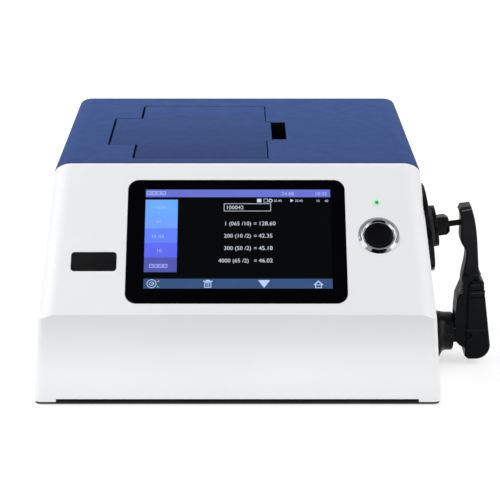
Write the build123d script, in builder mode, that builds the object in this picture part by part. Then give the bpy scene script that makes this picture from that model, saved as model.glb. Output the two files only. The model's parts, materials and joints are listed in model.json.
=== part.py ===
from build123d import *
from math import atan2, cos, hypot, pi, radians, sin, sqrt, tan
import os

os.makedirs("parts", exist_ok=True)

# ---------------------------------------------------------------- driving dimensions, mm and degrees
# Casing
BODY_W = 330.5          # width at the foot of the drafted side walls
BODY_D = 353.0          # front face to back face
BODY_H = 174.0          # foot of the casing to the flat top
DRAFT = 4.3             # lean of each side wall
PANEL_RISE = 99.2       # ledge under the sloping panel to the flat top
PANEL_LEAN = 45.2       # lean of the front panel from upright
WALL = 3.0
EDGE_IN = 14.0          # long rounded edges: how far in over the top and the panel
EDGE_DOWN = 8.0         # and how far down the side walls
BLEND_SHARE = 0.97      # part of the room beside the slanting flat that its blends take
CREST_R = 8.5           # roll where the panel meets the top
CORNER_R = 6.0          # upright corners and the top back edge
SEAM_BEHIND_CREST = 0.5 # the cover starts this far behind the panel's top edge
SEAM_DROP = 14.0        # flat top to the seam along the side walls
SEAM_GAP = 0.3
LIP_T = 2.5             # inner lip of the casing that carries the cover
LIP_H = 8.0
LEG_W = 18.0            # corner legs between the relieved foot edges
LEG_RELIEF = 2.5

# Base
FOOT_H = 1.0            # rubber foot below the base plate
FOOT_R = 10.0
FOOT_INSET = 26.0
PLATE_T = 2.0
PLATE_MARGIN = 0.8      # the plate's edge behind the casing's wall
TRAY_H = 12.0           # upturned flange inside the casing
TRAY_T = 1.5
SCREW_R = 1.5           # M3 screws
HEAD_R = 2.9
HEAD_H = 1.8

# Display
GLASS_W = 178.8
GLASS_H = 113.8
GLASS_R = 9.0
GLASS_T = 1.8
GLASS_PROUD = 0.2
GLASS_U = 67.2          # ledge to the glass's centre, along the panel
GLASS_X = -0.8
LCD_W = 164.9
LCD_H = 100.0
LCD_T = 5.6
LCD_U = 69.2
LCD_X = 0.5
FRAME_T = 1.2
BOARD_T = 1.6
FIT = 0.3               # clearance round pieces that drop into a recess

# Measure button, status lamp and badge plate on the panel
BUTTON_X = 115.5
BUTTON_U = 72.0
RING_R = 16.6           # chrome bezel
RING_LIP = 1.8          # bezel standing on the panel
CAP_R = 11.0
CAP_PROUD = 1.2
BARREL_R = 12.6         # bezel's threaded barrel
BARREL_L = 7.5          # barrel below the panel's outer face
BUTTON_TRAVEL = 1.5
LED_X = 115.0
LED_U = 102.9
LED_R = 1.5
BADGE_X = -116.5
BADGE_U = 48.0
BADGE_W = 36.8
BADGE_H = 17.3
BADGE_T = 1.0
BADGE_PROUD = 0.2

# Lid of the sample chamber
LID_LEFT = -87.0
LID_RIGHT = 25.5
LID_FRONT_BEHIND_CREST = 16.3
LID_DEPTH = 196.5
LID_T = 3.0
LID_R = 2.0
LID_GAP = 0.9           # gap round the lid
HINGE_GAP = 2.0         # wider gap on the edges that face the hinge
TAB_L_W = 24.0          # hinge tab on the left
TAB_L_BACK = 48.0       # lid front to the tab's front
TAB_L_D = 97.7
TAB_R_W = 5.0           # lifting tab on the right
TAB_R_BACK = 62.7
TAB_R_D = 70.5
PULL_W = 13.0           # finger hole beside the lifting tab
PULL_D = 65.0
PULL_DEPTH = 16.0
PULL_T = 1.5
HINGE_IN = 11.0         # tab's left edge to the hinge pin
HINGE_DOWN = 7.5        # flat top to the hinge pin
HINGE_PIN_R = 2.0
HINGE_EYE_R = 4.2
HINGE_EYE_L = 14.0
RUN = 0.05              # radial running clearance
RIM_H = 4.0             # light baffle under the lid
RIM_T = 2.0

# Sample chamber and optics
CHAMBER_DEPTH = 104.0
CHAMBER_T = 2.0
CHAMBER_IN = 1.0        # chamber's outer wall inside the lid's edge
SEAL_T = 0.8
SEAL_W = 3.0
DECK_T = 3.0
POST_R = 5.0
BEAM_BACK = 80.0        # lid front to the transmission beam
BEAM_DROP = 61.0        # flat top to the beam
BARREL_OD = 26.0
BEAM_D = 16.0
SPHERE_R = 36.0
SPHERE_T = 4.0
SPHERE_IN = 46.0        # port face to the sphere's centre
SPHERE_FLANGE = 5.0
NECK_R = 20.0

# Measuring port on the right-hand wall
PORT_BACK = 102.5       # front face to the port's axis
PORT_DROP = 56.2        # flat top to the port's axis
PORT_TILT = 8.3         # the port looks outward and slightly up
PORT_PROUD = 5.6        # wall to the port's face, on the axis
PORT_R = 37.5
BORE_R = 24.0
SPIGOT_R = 31.0
APERTURE_R = 12.7
APERTURE_T = 5.0

# Clamp arm
PAD_R = 17.5
PAD_T = 3.2
PAD_FACE_T = 3.0
PAD_REST = 0.3          # pad to port, closed
HEX_AF = 16.0
HEX_L = 10.5
STUD_R = 2.5
PIVOT_OUT = 32.75       # foot of the wall to the arm's pivot
PIVOT_Z = 27.0          # table to the pivot
PIVOT_R = 3.0
UPPER_W = 18.0          # width of the upper arm, front to back
HANDLE_W = 25.0
CHEEK_R = 12.0
TONGUE_W = 8.0
SLOT_W = 16.0
TONGUE_R = 9.0
BOSS_R = 16.5
FLANGE_R = 24.0
SPRING_WIRE = 1.2

# ---------------------------------------------------------------- derived places
BASE_Z = FOOT_H + PLATE_T
TOP_Z = BASE_Z + BODY_H
LEDGE_Z = TOP_Z - PANEL_RISE
PORT_Z = TOP_Z - PORT_DROP
FRONT_Y = -BODY_D / 2
BACK_Y = BODY_D / 2
LEAN = radians(PANEL_LEAN)
CREST_Y = FRONT_Y + (TOP_Z - LEDGE_Z) * tan(LEAN)
SEAM_Y = CREST_Y + SEAM_BEHIND_CREST
SEAM_Z = TOP_Z - SEAM_DROP
LID_FRONT = CREST_Y + LID_FRONT_BEHIND_CREST
LID_BACK = LID_FRONT + LID_DEPTH
PIVOT_X = BODY_W / 2 + PIVOT_OUT


def wall_x(z):
    """Distance of the right-hand wall's outer face from the mid-plane at height z."""
    return BODY_W / 2 - (z - BASE_Z) * tan(radians(DRAFT))


# ---------------------------------------------------------------- outlines of the clamp arm, X and Z
# Worked out first, because the whole part is centred on its box and the arm is what reaches furthest out.
HEAD_RISE = 20.4        # port's axis to the top of the arm
HEEL_OUT = 20.55        # pivot to the outer edge of the handle where the heel begins
HEEL_R = 12.0
TOE_Z = 5.0             # lowest edge of the handle
TOE_IN = 2.5            # pivot to the inner edge of the handle's foot
HANDLE_TOP_Z = 76.0
HANDLE_TOP_OUT = 11.0
HEAD_Z = PORT_Z + HEAD_RISE
NECK_Z = HANDLE_TOP_Z - 6.0

with BuildSketch() as upper_outline:
    with BuildLine():
        Spline((PIVOT_X - 1.8, HEAD_Z - 0.5), (PIVOT_X + 2.6, PORT_Z + 4.9), (PIVOT_X + 5.0, PORT_Z - 12.8),
               (PIVOT_X + 9.5, NECK_Z))
        Line((PIVOT_X + 9.5, NECK_Z), (PIVOT_X - 6.6, NECK_Z))
        Spline((PIVOT_X - 6.6, NECK_Z), (PIVOT_X - 4.4, PORT_Z - 24.8), (PIVOT_X - 5.4, PORT_Z - 18.1),
               (PIVOT_X - 8.4, PORT_Z - 13.3), (PIVOT_X - 9.8, PORT_Z - 4.8), (PIVOT_X - 11.7, PORT_Z + 15.2))
        Line((PIVOT_X - 11.7, PORT_Z + 15.2), (PIVOT_X - 10.0, HEAD_Z - 1.5))
        Line((PIVOT_X - 10.0, HEAD_Z - 1.5), (PIVOT_X - 1.8, HEAD_Z - 0.5))
    make_face()

with BuildSketch() as handle_outline:
    with BuildLine():
        Polyline((PIVOT_X - TOE_IN, TOE_Z + 2.5), (PIVOT_X - TOE_IN, NECK_Z), (PIVOT_X + 1, HANDLE_TOP_Z),
                 (PIVOT_X + HANDLE_TOP_OUT, HANDLE_TOP_Z), (PIVOT_X + HEEL_OUT, TOE_Z),
                 (PIVOT_X + 0.5, TOE_Z), close=True)
    make_face()
    fillet(handle_outline.vertices().sort_by(Axis.X)[-1], HEEL_R)
    fillet(handle_outline.vertices().group_by(Axis.Y)[-1].sort_by(Axis.X)[-1], 3)

with BuildSketch() as cheek_outline:
    with BuildLine():
        Polyline((PIVOT_X + 2, PIVOT_Z), (PIVOT_X + 2, NECK_Z + 10), (PIVOT_X - 5.8, NECK_Z + 10),
                 (PIVOT_X - 7, NECK_Z + 0.5), (PIVOT_X - 11, NECK_Z - 10), (PIVOT_X - 11.8, PIVOT_Z + 21),
                 (PIVOT_X - 11.8, PIVOT_Z + 10), (PIVOT_X - CHEEK_R * 0.95, PIVOT_Z), close=True)
    make_face()
    fillet(cheek_outline.vertices().sort_by(Axis.X)[0:2], 5)
    with Locations((PIVOT_X, PIVOT_Z)):
        Circle(CHEEK_R)

ARM_REACH = handle_outline.sketch.bounding_box().max.X
BODY_X = (BODY_W / 2 - ARM_REACH) / 2   # body's mid-plane, so that the origin is under the middle of the part


# ---------------------------------------------------------------- planes
def level(z):
    """Horizontal plane at height z, centred on the body."""
    return Plane(origin=(BODY_X, 0, z), x_dir=(1, 0, 0), z_dir=(0, 0, 1))


def across(y):
    """Upright plane facing the front, at depth y: X to the right, Z up."""
    return Plane(origin=(BODY_X, y, 0), x_dir=(1, 0, 0), z_dir=(0, -1, 0))


def side(x):
    """Upright plane facing right, x from the mid-plane: Y towards the back, Z up."""
    return Plane(origin=(BODY_X + x, 0, 0), x_dir=(0, 1, 0), z_dir=(1, 0, 0))


panel = Plane(origin=(BODY_X, FRONT_Y, LEDGE_Z), x_dir=(1, 0, 0), z_dir=(0, -cos(LEAN), sin(LEAN)))


def on_panel(x, u):
    """Plane of the panel's face with its origin at x, and u up the slope from the ledge."""
    return Plane(origin=panel.from_local_coords((x, u, 0)), x_dir=panel.x_dir, z_dir=panel.z_dir)


TILT = radians(PORT_TILT)
PORT_Y = FRONT_Y + PORT_BACK
PORT_X = wall_x(PORT_Z) + PORT_PROUD
port = Plane(origin=(BODY_X + PORT_X, PORT_Y, PORT_Z), x_dir=(0, 1, 0), z_dir=(cos(TILT), 0, sin(TILT)))
ARM_Y = PORT_Y
right_wall = Plane(origin=(BODY_X + wall_x(PIVOT_Z), ARM_Y, PIVOT_Z), x_dir=(0, 1, 0),
                   z_dir=(cos(radians(DRAFT)), 0, sin(radians(DRAFT))))
BRACKET_SCREW_R = 17.0
COVER_SCREWS = [(-120.0, SEAM_Z + LIP_H / 2), (120.0, SEAM_Z + LIP_H / 2)]


# ---------------------------------------------------------------- casing form
def walls_block(inset, foot_z):
    """Drafted block with upright front and back faces, every face moved in by inset."""
    half_foot = wall_x(foot_z) - inset / cos(radians(DRAFT))
    half_top = wall_x(TOP_Z - inset) - inset / cos(radians(DRAFT))
    with BuildPart() as block:
        with BuildSketch(across(BACK_Y - inset)):
            with BuildLine():
                Polyline((-half_foot, foot_z), (half_foot, foot_z), (half_top, TOP_Z - inset),
                         (-half_top, TOP_Z - inset), close=True)
            make_face()
        extrude(amount=BODY_D - 2 * inset)
        uprights = block.edges().filter_by(lambda e: e.bounding_box().size.Z > BODY_H / 2)
        fillet(uprights, CORNER_R - inset)
        fillet(block.faces().sort_by(Axis.Z)[-1].edges(), CORNER_R - inset)
    return block.part


def round_long_edges(block, inset, low):
    """Wide, shallow rounding of the edges beside the top and the panel, moved in by inset.

    A slanting flat is cut along each edge and blended into the faces on both sides of it.
    """
    flat_in = (2 - sqrt(2)) * EDGE_IN
    flat_down = (2 - sqrt(2)) * EDGE_DOWN
    share = 1 - inset * (1 / flat_in + 1 / flat_down - hypot(1 / flat_in, 1 / flat_down))
    slant = atan2(EDGE_DOWN, EDGE_IN)
    blend_in = BLEND_SHARE * (sqrt(2) - 1) * EDGE_IN / tan(slant / 2)
    blend_down = BLEND_SHARE * (sqrt(2) - 1) * EDGE_DOWN / tan(pi / 4 - slant / 2)

    def kept(edge):
        return edge.center().Z > low + 1 and edge.center().Y < BACK_Y + 9

    def from_wall(edge):
        middle = edge.position_at(0.5)
        return wall_x(middle.Z) - inset / cos(radians(DRAFT)) - abs(middle.X - BODY_X)

    for end in (0, -1):
        flank = block.faces().sort_by(Axis.X)[end]
        chamfer(flank.edges().filter_by(kept), flat_down * share, flat_in * share, reference=flank)
    fillet(block.edges().filter_by(lambda e: kept(e) and abs(from_wall(e)) < 0.1), blend_down - inset)
    flat_edge = flat_in * share
    fillet(block.edges().filter_by(lambda e: kept(e) and abs(from_wall(e) - flat_edge) < 0.2 * flat_edge),
           blend_in - inset)


def panel_block(inset, foot_z, blended=True):
    """The sloping panel, its crest and the flat top, with the long edges rounded on both sides."""
    top = TOP_Z - inset
    low = foot_z - 4

    def panel_y(z):
        return FRONT_Y + inset / cos(LEAN) + (z - LEDGE_Z) * tan(LEAN)

    half_low = wall_x(low) - inset / cos(radians(DRAFT))
    half_top = wall_x(top) - inset / cos(radians(DRAFT))
    with BuildPart() as block:
        with BuildSketch(side(0)) as side_view:
            with BuildLine():
                Polyline((panel_y(low), low), (panel_y(top), top), (BACK_Y + 10, top), (BACK_Y + 10, low),
                         close=True)
            make_face()
            fillet(side_view.vertices().filter_by(lambda v: v.Y > top - 1).sort_by(Axis.X)[0], CREST_R - inset)
        extrude(amount=BODY_W, both=True)
        with BuildSketch(across(BACK_Y + 10)):
            with BuildLine():
                Polyline((-half_low, low), (half_low, low), (half_top, top), (-half_top, top), close=True)
            make_face()
        extrude(amount=2 * BODY_D, mode=Mode.INTERSECT)
        if blended:
            round_long_edges(block, inset, low)
        else:
            for flank in (block.faces().sort_by(Axis.X)[0], block.faces().sort_by(Axis.X)[-1]):
                fillet(flank.edges().filter_by(lambda e: e.center().Z > low + 1 and e.center().Y < BACK_Y + 9),
                       EDGE_DOWN / 2)
    return block.part


def casing_form(inset, foot_z=BASE_Z, blended=True):
    """Outer form of the casing, or the same form moved in by inset."""
    with BuildPart() as form:
        add(walls_block(inset, foot_z))
        add(panel_block(inset, foot_z, blended), mode=Mode.INTERSECT)
    return form.part


outer_form = casing_form(0)
inner_form = casing_form(WALL, BASE_Z - 1)
lip_form = casing_form(WALL + LIP_T, BASE_Z - 1, blended=False)


def cover_zone(margin):
    """Block behind the crest and above the side seam, grown by margin."""
    with BuildPart() as zone:
        with BuildSketch(level(SEAM_Z - margin)):
            with Locations((0, (SEAM_Y - margin + BACK_Y + 20) / 2)):
                Rectangle(BODY_W + 20, BACK_Y + 20 - SEAM_Y + margin)
        extrude(amount=SEAM_DROP + 20)
    return zone.part


def lid_sketch(left_gap, gap):
    """Lid with its two tabs, grown by left_gap on the hinge side and by gap on the others."""
    def block(x0, x1, y0, y1):
        with Locations(((x0 - left_gap + x1 + gap) / 2, (y0 + y1) / 2)):
            Rectangle(x1 - x0 + left_gap + gap, y1 - y0 + 2 * gap)

    with BuildSketch() as outline:
        block(LID_LEFT, LID_RIGHT, LID_FRONT, LID_BACK)
        block(LID_LEFT - TAB_L_W, LID_LEFT + 20, TAB_L_FRONT, TAB_L_FRONT + TAB_L_D)
        block(LID_RIGHT - 20, LID_RIGHT + TAB_R_W, TAB_R_FRONT, TAB_R_FRONT + TAB_R_D)
        corners = outline.vertices().filter_by(lambda v: not (
            LID_LEFT - left_gap - 1 < v.X < LID_LEFT and TAB_L_FRONT - gap - 1 < v.Y < TAB_L_FRONT + TAB_L_D + gap + 1
            or LID_RIGHT < v.X < LID_RIGHT + gap + 1 and TAB_R_FRONT - gap - 1 < v.Y < TAB_R_FRONT + TAB_R_D + gap + 1))
        fillet(corners, LID_R)
    return outline.sketch


TAB_L_FRONT = LID_FRONT + TAB_L_BACK
TAB_R_FRONT = LID_FRONT + TAB_R_BACK
PULL_X0 = LID_RIGHT + TAB_R_W
PULL_Y = TAB_R_FRONT + TAB_R_D / 2
HINGE_X = LID_LEFT - TAB_L_W + HINGE_IN
HINGE_Z = TOP_Z - HINGE_DOWN
HINGE_Y = TAB_L_FRONT + TAB_L_D / 2
UNDER = TOP_Z - LID_T       # underside of the lid and of the cover

# inner lip that carries the cover along the seam
with BuildPart() as seam_lip:
    add(inner_form)
    add(lip_form, mode=Mode.SUBTRACT)
    add(cover_zone(LIP_H), mode=Mode.INTERSECT)
    with BuildSketch(level(SEAM_Z + LIP_H)):
        with Locations((0, SEAM_Y + 100)):
            Rectangle(BODY_W - 60, BODY_D)
    extrude(amount=30, mode=Mode.SUBTRACT)
    with BuildSketch(level(SEAM_Z + LIP_H)):
        with Locations((0, SEAM_Y + LIP_H / 2 + BODY_D / 2)):
            Rectangle(BODY_W + 20, BODY_D)
    extrude(amount=30, mode=Mode.SUBTRACT)

# ---------------------------------------------------------------- housing
SCREW_POSTS = [(sx * (BODY_W / 2 - 9.0), sy * (BODY_D / 2 - 9.0)) for sx in (-1, 1) for sy in (-1, 1)]
POST_H = 22.0
REAR_W = 190.0          # opening in the back wall
REAR_H = 60.0
REAR_Z = BASE_Z + 52.0
REAR_FRAME = 8.0

with BuildPart() as housing:
    add(outer_form)
    add(inner_form, mode=Mode.SUBTRACT)
    add(cover_zone(0), mode=Mode.SUBTRACT)
    add(seam_lip.part)
    # relieved foot edges between the corner legs
    with BuildSketch(level(BASE_Z)):
        Rectangle(BODY_W - 2 * LEG_W, BODY_D + 10)
        Rectangle(BODY_W + 10, BODY_D - 2 * LEG_W)
    extrude(amount=LEG_RELIEF, mode=Mode.SUBTRACT)
    # screw posts in the corners
    with BuildSketch(level(BASE_Z)):
        with Locations(*SCREW_POSTS):
            Circle(POST_R)
    extrude(amount=POST_H)
    with BuildSketch(level(BASE_Z)):
        with Locations(*SCREW_POSTS):
            Circle(SCREW_R)
    extrude(amount=POST_H - 4, mode=Mode.SUBTRACT)
    # glass recess and the window for the display behind it
    with BuildSketch(panel.offset(5)):
        with Locations((GLASS_X, GLASS_U)):
            RectangleRounded(GLASS_W + 2 * FIT, GLASS_H + 2 * FIT, GLASS_R + FIT)
    extrude(amount=-(5 + GLASS_T - GLASS_PROUD), mode=Mode.SUBTRACT)
    with BuildSketch(panel.offset(5)):
        with Locations((LCD_X, LCD_U)):
            Rectangle(LCD_W + 2 * FIT, LCD_H + 2 * FIT)
    extrude(amount=-15, mode=Mode.SUBTRACT)
    # badge recess
    with BuildSketch(panel.offset(5)):
        with Locations((BADGE_X, BADGE_U)):
            RectangleRounded(BADGE_W + FIT, BADGE_H + FIT, 3)
    extrude(amount=-(5 + BADGE_T - BADGE_PROUD), mode=Mode.SUBTRACT)
    # measure button and status lamp
    with BuildSketch(panel.offset(5)):
        with Locations((BUTTON_X, BUTTON_U)):
            Circle(BARREL_R + 0.1)
        with Locations((LED_X, LED_U)):
            Circle(LED_R + 0.05)
    extrude(amount=-15, mode=Mode.SUBTRACT)
    # measuring port
    with BuildSketch(port.offset(6)):
        Circle(SPIGOT_R + 0.2)
    extrude(amount=-26, mode=Mode.SUBTRACT)
    # rear opening
    with BuildSketch(across(BACK_Y + 5)):
        with Locations((0, REAR_Z)):
            RectangleRounded(REAR_W, REAR_H, 5)
    extrude(amount=15, mode=Mode.SUBTRACT)

    # screws of the arm's bracket and of the cover
    with BuildSketch(right_wall.offset(-WALL - 1)):
        with PolarLocations(BRACKET_SCREW_R, 3, start_angle=90):
            Circle(SCREW_R)
    extrude(amount=WALL + 2, mode=Mode.SUBTRACT)
    with BuildSketch(across(BACK_Y + 1)):
        with Locations(*COVER_SCREWS):
            Circle(SCREW_R)
    extrude(amount=WALL + LIP_T + 2, mode=Mode.SUBTRACT)
housing.part.label = "housing"
export_step(housing.part, "parts/housing.step")

# ---------------------------------------------------------------- top cover
with BuildPart() as top_cover:
    add(outer_form)
    add(inner_form, mode=Mode.SUBTRACT)
    add(cover_zone(-SEAM_GAP), mode=Mode.INTERSECT)
    with BuildSketch(level(UNDER - 10)):
        add(lid_sketch(HINGE_GAP, LID_GAP))
        with Locations((PULL_X0 + PULL_W / 2, PULL_Y)):
            Rectangle(PULL_W, PULL_D)
    extrude(amount=LID_T + 20, mode=Mode.SUBTRACT)
    with BuildSketch(across(BACK_Y)):
        with Locations(*COVER_SCREWS):
            Circle(SCREW_R)
    extrude(amount=WALL + 1, mode=Mode.SUBTRACT)
    with BuildSketch(across(BACK_Y)):
        with Locations(*COVER_SCREWS):
            Circle(HEAD_R)
    extrude(amount=HEAD_R - SCREW_R, taper=45, mode=Mode.SUBTRACT)
top_cover.part.label = "top_cover"
export_step(top_cover.part, "parts/top_cover.step")

with BuildPart() as cover_screws:
    with BuildSketch(across(BACK_Y)):
        with Locations(*COVER_SCREWS):
            Circle(HEAD_R)
    extrude(amount=HEAD_R - SCREW_R, taper=45)
    with BuildSketch(across(BACK_Y)):
        with Locations(*COVER_SCREWS):
            Circle(SCREW_R)
    extrude(amount=WALL + LIP_T + 2)
cover_screws.part.label = "cover_screws"
export_step(cover_screws.part, "parts/cover_screws.step")

# ---------------------------------------------------------------- lid, its hinge and the finger pull
EYE_YS = (HINGE_Y - TAB_L_D / 2 + 8 + HINGE_EYE_L / 2, HINGE_Y + TAB_L_D / 2 - 8 - HINGE_EYE_L / 2)
EAR_T = 3.0
EAR_YS = (HINGE_Y - TAB_L_D / 2 + 3, HINGE_Y + TAB_L_D / 2 - 3)
PIN_L = EAR_YS[1] - EAR_YS[0] + EAR_T + 2

CHAMBER_X0 = LID_LEFT + CHAMBER_IN
CHAMBER_X1 = LID_RIGHT - CHAMBER_IN
CHAMBER_Y0 = LID_FRONT + CHAMBER_IN
CHAMBER_Y1 = LID_BACK - CHAMBER_IN
CHAMBER_X = (CHAMBER_X0 + CHAMBER_X1) / 2
CHAMBER_Y = (CHAMBER_Y0 + CHAMBER_Y1) / 2
CHAMBER_W = CHAMBER_X1 - CHAMBER_X0
CHAMBER_D = CHAMBER_Y1 - CHAMBER_Y0
RIM_Z = UNDER - SEAL_T - 0.2        # top of the chamber's rim; the seal lies on it
FLOOR_Z = TOP_Z - CHAMBER_DEPTH     # chamber's inner floor

with BuildPart() as lid:
    with BuildSketch(level(UNDER)):
        add(lid_sketch(0, 0))
    extrude(amount=LID_T)
    fillet(lid.faces().sort_by(Axis.Z)[-1].edges(), 0.5)
    # light baffle that drops into the chamber's mouth
    with BuildSketch(level(UNDER)):
        with Locations((CHAMBER_X, CHAMBER_Y)):
            Rectangle(CHAMBER_W - 2 * SEAL_W - 2, CHAMBER_D - 2 * SEAL_W - 2)
            Rectangle(CHAMBER_W - 2 * SEAL_W - 2 - 2 * RIM_T, CHAMBER_D - 2 * SEAL_W - 2 - 2 * RIM_T,
                      mode=Mode.SUBTRACT)
    extrude(amount=-RIM_H)
    # stiffening ribs
    with BuildSketch(level(UNDER)):
        with Locations((CHAMBER_X, CHAMBER_Y)):
            with GridLocations(CHAMBER_W / 4, 0, 3, 1):
                Rectangle(RIM_T, CHAMBER_D - 2 * SEAL_W - 3)
    extrude(amount=-RIM_H + 1)
    # hinge eyes under the tab
    for eye_y in EYE_YS:
        with BuildSketch(across(eye_y + HINGE_EYE_L / 2)):
            with Locations((HINGE_X, HINGE_Z)):
                Circle(HINGE_EYE_R)
            with Locations((HINGE_X, (HINGE_Z + UNDER) / 2 + 0.5)):
                Rectangle(2 * HINGE_EYE_R, UNDER - HINGE_Z + 1)
        extrude(amount=HINGE_EYE_L)
    with BuildSketch(across(BACK_Y)):
        with Locations((HINGE_X, HINGE_Z)):
            Circle(HINGE_PIN_R + RUN)
    extrude(amount=BODY_D, mode=Mode.SUBTRACT)
lid.part.label = "lid"
export_step(lid.part, "parts/lid.step")

with BuildPart() as lid_hinge_pin:
    with BuildSketch(across(HINGE_Y + PIN_L / 2)):
        with Locations((HINGE_X, HINGE_Z)):
            Circle(HINGE_PIN_R)
    extrude(amount=PIN_L)
    chamfer(lid_hinge_pin.edges().filter_by(GeomType.CIRCLE), 0.4)
lid_hinge_pin.part.label = "lid_hinge_pin"
export_step(lid_hinge_pin.part, "parts/lid_hinge_pin.step")

BRACKET_H = 34.0
BRACKET_T = 2.0
EAR_R = HINGE_DOWN - LID_T - 0.5    # clears the lid's underside as it swings over
with BuildPart() as lid_hinge_bracket:
    # web against the chamber's left wall
    with BuildSketch(side(CHAMBER_X0)):
        with Locations((HINGE_Y, RIM_Z - 1 - BRACKET_H / 2)):
            Rectangle(EAR_YS[1] - EAR_YS[0] + EAR_T, BRACKET_H)
    extrude(amount=-BRACKET_T)
    # ears that hold the pin
    for ear_y in EAR_YS:
        with BuildSketch(across(ear_y + EAR_T / 2)):
            with BuildLine():
                Polyline((CHAMBER_X0, RIM_Z - 1), (CHAMBER_X0, RIM_Z - 1 - BRACKET_H),
                         (HINGE_X, HINGE_Z - EAR_R), (HINGE_X, HINGE_Z + EAR_R), close=True)
            make_face()
            with Locations((HINGE_X, HINGE_Z)):
                Circle(EAR_R)
        extrude(amount=EAR_T)
    with BuildSketch(across(BACK_Y)):
        with Locations((HINGE_X, HINGE_Z)):
            Circle(HINGE_PIN_R)
    extrude(amount=BODY_D, mode=Mode.SUBTRACT)
lid_hinge_bracket.part.label = "lid_hinge_bracket"
export_step(lid_hinge_bracket.part, "parts/lid_hinge_bracket.step")

PULL_IN = 2.5           # the cup reaches this far under the lifting tab
with BuildPart() as finger_cup:
    cup_x0 = PULL_X0 - PULL_IN
    with BuildSketch(level(UNDER)):
        with Locations(((cup_x0 + PULL_X0 + PULL_W) / 2, PULL_Y)):
            RectangleRounded(PULL_W + PULL_IN + 2 * PULL_T, PULL_D + 2 * PULL_T, 3)
    extrude(amount=-PULL_DEPTH)
    with BuildSketch(level(UNDER)):
        with Locations(((cup_x0 + PULL_X0 + PULL_W) / 2, PULL_Y)):
            RectangleRounded(PULL_W + PULL_IN, PULL_D, 1.5)
    extrude(amount=-PULL_DEPTH + PULL_T, mode=Mode.SUBTRACT)
    # relief under the lifting tab
    with BuildSketch(level(UNDER + 1)):
        with Locations((LID_RIGHT, PULL_Y)):
            Rectangle(2 * TAB_R_W + 2 * LID_GAP, TAB_R_D + 4)
    extrude(amount=-1.4, mode=Mode.SUBTRACT)
finger_cup.part.label = "finger_cup"
export_step(finger_cup.part, "parts/finger_cup.step")

# ---------------------------------------------------------------- sample chamber
BEAM_Y = LID_FRONT + BEAM_BACK
BEAM_Z = TOP_Z - BEAM_DROP

with BuildPart() as sample_chamber:
    with BuildSketch(level(FLOOR_Z - CHAMBER_T)):
        with Locations((CHAMBER_X, CHAMBER_Y)):
            RectangleRounded(CHAMBER_W, CHAMBER_D, 3)
    extrude(amount=RIM_Z - FLOOR_Z + CHAMBER_T)
    with BuildSketch(level(FLOOR_Z)):
        with Locations((CHAMBER_X, CHAMBER_Y)):
            RectangleRounded(CHAMBER_W - 2 * CHAMBER_T, CHAMBER_D - 2 * CHAMBER_T, 1)
    extrude(amount=BODY_H, mode=Mode.SUBTRACT)
    # beam holes in both side walls
    with BuildSketch(side(CHAMBER_X0 - 5)):
        with Locations((BEAM_Y, BEAM_Z)):
            Circle(BARREL_OD / 2 - 3)
    extrude(amount=CHAMBER_W + 10, mode=Mode.SUBTRACT)
sample_chamber.part.label = "sample_chamber"
export_step(sample_chamber.part, "parts/sample_chamber.step")

with BuildPart() as lid_seal:
    with BuildSketch(level(RIM_Z)):
        with Locations((CHAMBER_X, CHAMBER_Y)):
            RectangleRounded(CHAMBER_W, CHAMBER_D, 3)
            RectangleRounded(CHAMBER_W - 2 * CHAMBER_T, CHAMBER_D - 2 * CHAMBER_T, 1, mode=Mode.SUBTRACT)
    extrude(amount=SEAL_T)
lid_seal.part.label = "lid_seal"
export_step(lid_seal.part, "parts/lid_seal.step")

# ---------------------------------------------------------------- deck and posts
DECK_Z = FLOOR_Z - CHAMBER_T - DECK_T
DECK_X0, DECK_X1 = -142.0, 146.0
DECK_Y0, DECK_Y1 = -138.0, 150.0
DECK_POSTS = [(x, y) for x in (DECK_X0 + 10, DECK_X1 - 10) for y in (DECK_Y0 + 10, 0, DECK_Y1 - 10)]

with BuildPart() as optics_deck:
    with BuildSketch(level(DECK_Z)):
        with Locations(((DECK_X0 + DECK_X1) / 2, (DECK_Y0 + DECK_Y1) / 2)):
            RectangleRounded(DECK_X1 - DECK_X0, DECK_Y1 - DECK_Y0, 6)
    extrude(amount=DECK_T)
optics_deck.part.label = "optics_deck"
export_step(optics_deck.part, "parts/optics_deck.step")

with BuildPart() as deck_posts:
    with BuildSketch(level(BASE_Z)):
        with Locations(*DECK_POSTS):
            RegularPolygon(POST_R, 6)
    extrude(amount=DECK_Z - BASE_Z)
deck_posts.part.label = "deck_posts"
export_step(deck_posts.part, "parts/deck_posts.step")

# ---------------------------------------------------------------- base plate, feet and base screws
FEET = [(sx * (BODY_W / 2 - FOOT_INSET), sy * (BODY_D / 2 - FOOT_INSET)) for sx in (-1, 1) for sy in (-1, 1)]
STEM_R = 4.0

with BuildPart() as base_plate:
    with BuildSketch(level(FOOT_H)):
        RectangleRounded(BODY_W - 2 * PLATE_MARGIN, BODY_D - 2 * PLATE_MARGIN, CORNER_R - PLATE_MARGIN)
    extrude(amount=PLATE_T)
    # upturned flange inside the casing
    with BuildSketch(level(BASE_Z)):
        RectangleRounded(BODY_W - 2 * WALL - 3.5, BODY_D - 2 * WALL - 1, 3)
        RectangleRounded(BODY_W - 2 * WALL - 3.5 - 2 * TRAY_T, BODY_D - 2 * WALL - 1 - 2 * TRAY_T, 2,
                         mode=Mode.SUBTRACT)
    extrude(amount=TRAY_H)
    # room for the casing's screw posts
    with BuildSketch(level(BASE_Z)):
        with Locations(*SCREW_POSTS):
            Rectangle(2 * POST_R + 6, 2 * POST_R + 6)
    extrude(amount=TRAY_H, mode=Mode.SUBTRACT)
    with BuildSketch(level(0)):
        with Locations(*SCREW_POSTS):
            Circle(SCREW_R)
        with Locations(*FEET):
            Circle(STEM_R)
    extrude(amount=BASE_Z, mode=Mode.SUBTRACT)
    with BuildSketch(level(FOOT_H)):
        with Locations(*SCREW_POSTS):
            Circle(HEAD_R)
    extrude(amount=HEAD_R - SCREW_R, taper=45, mode=Mode.SUBTRACT)
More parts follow.
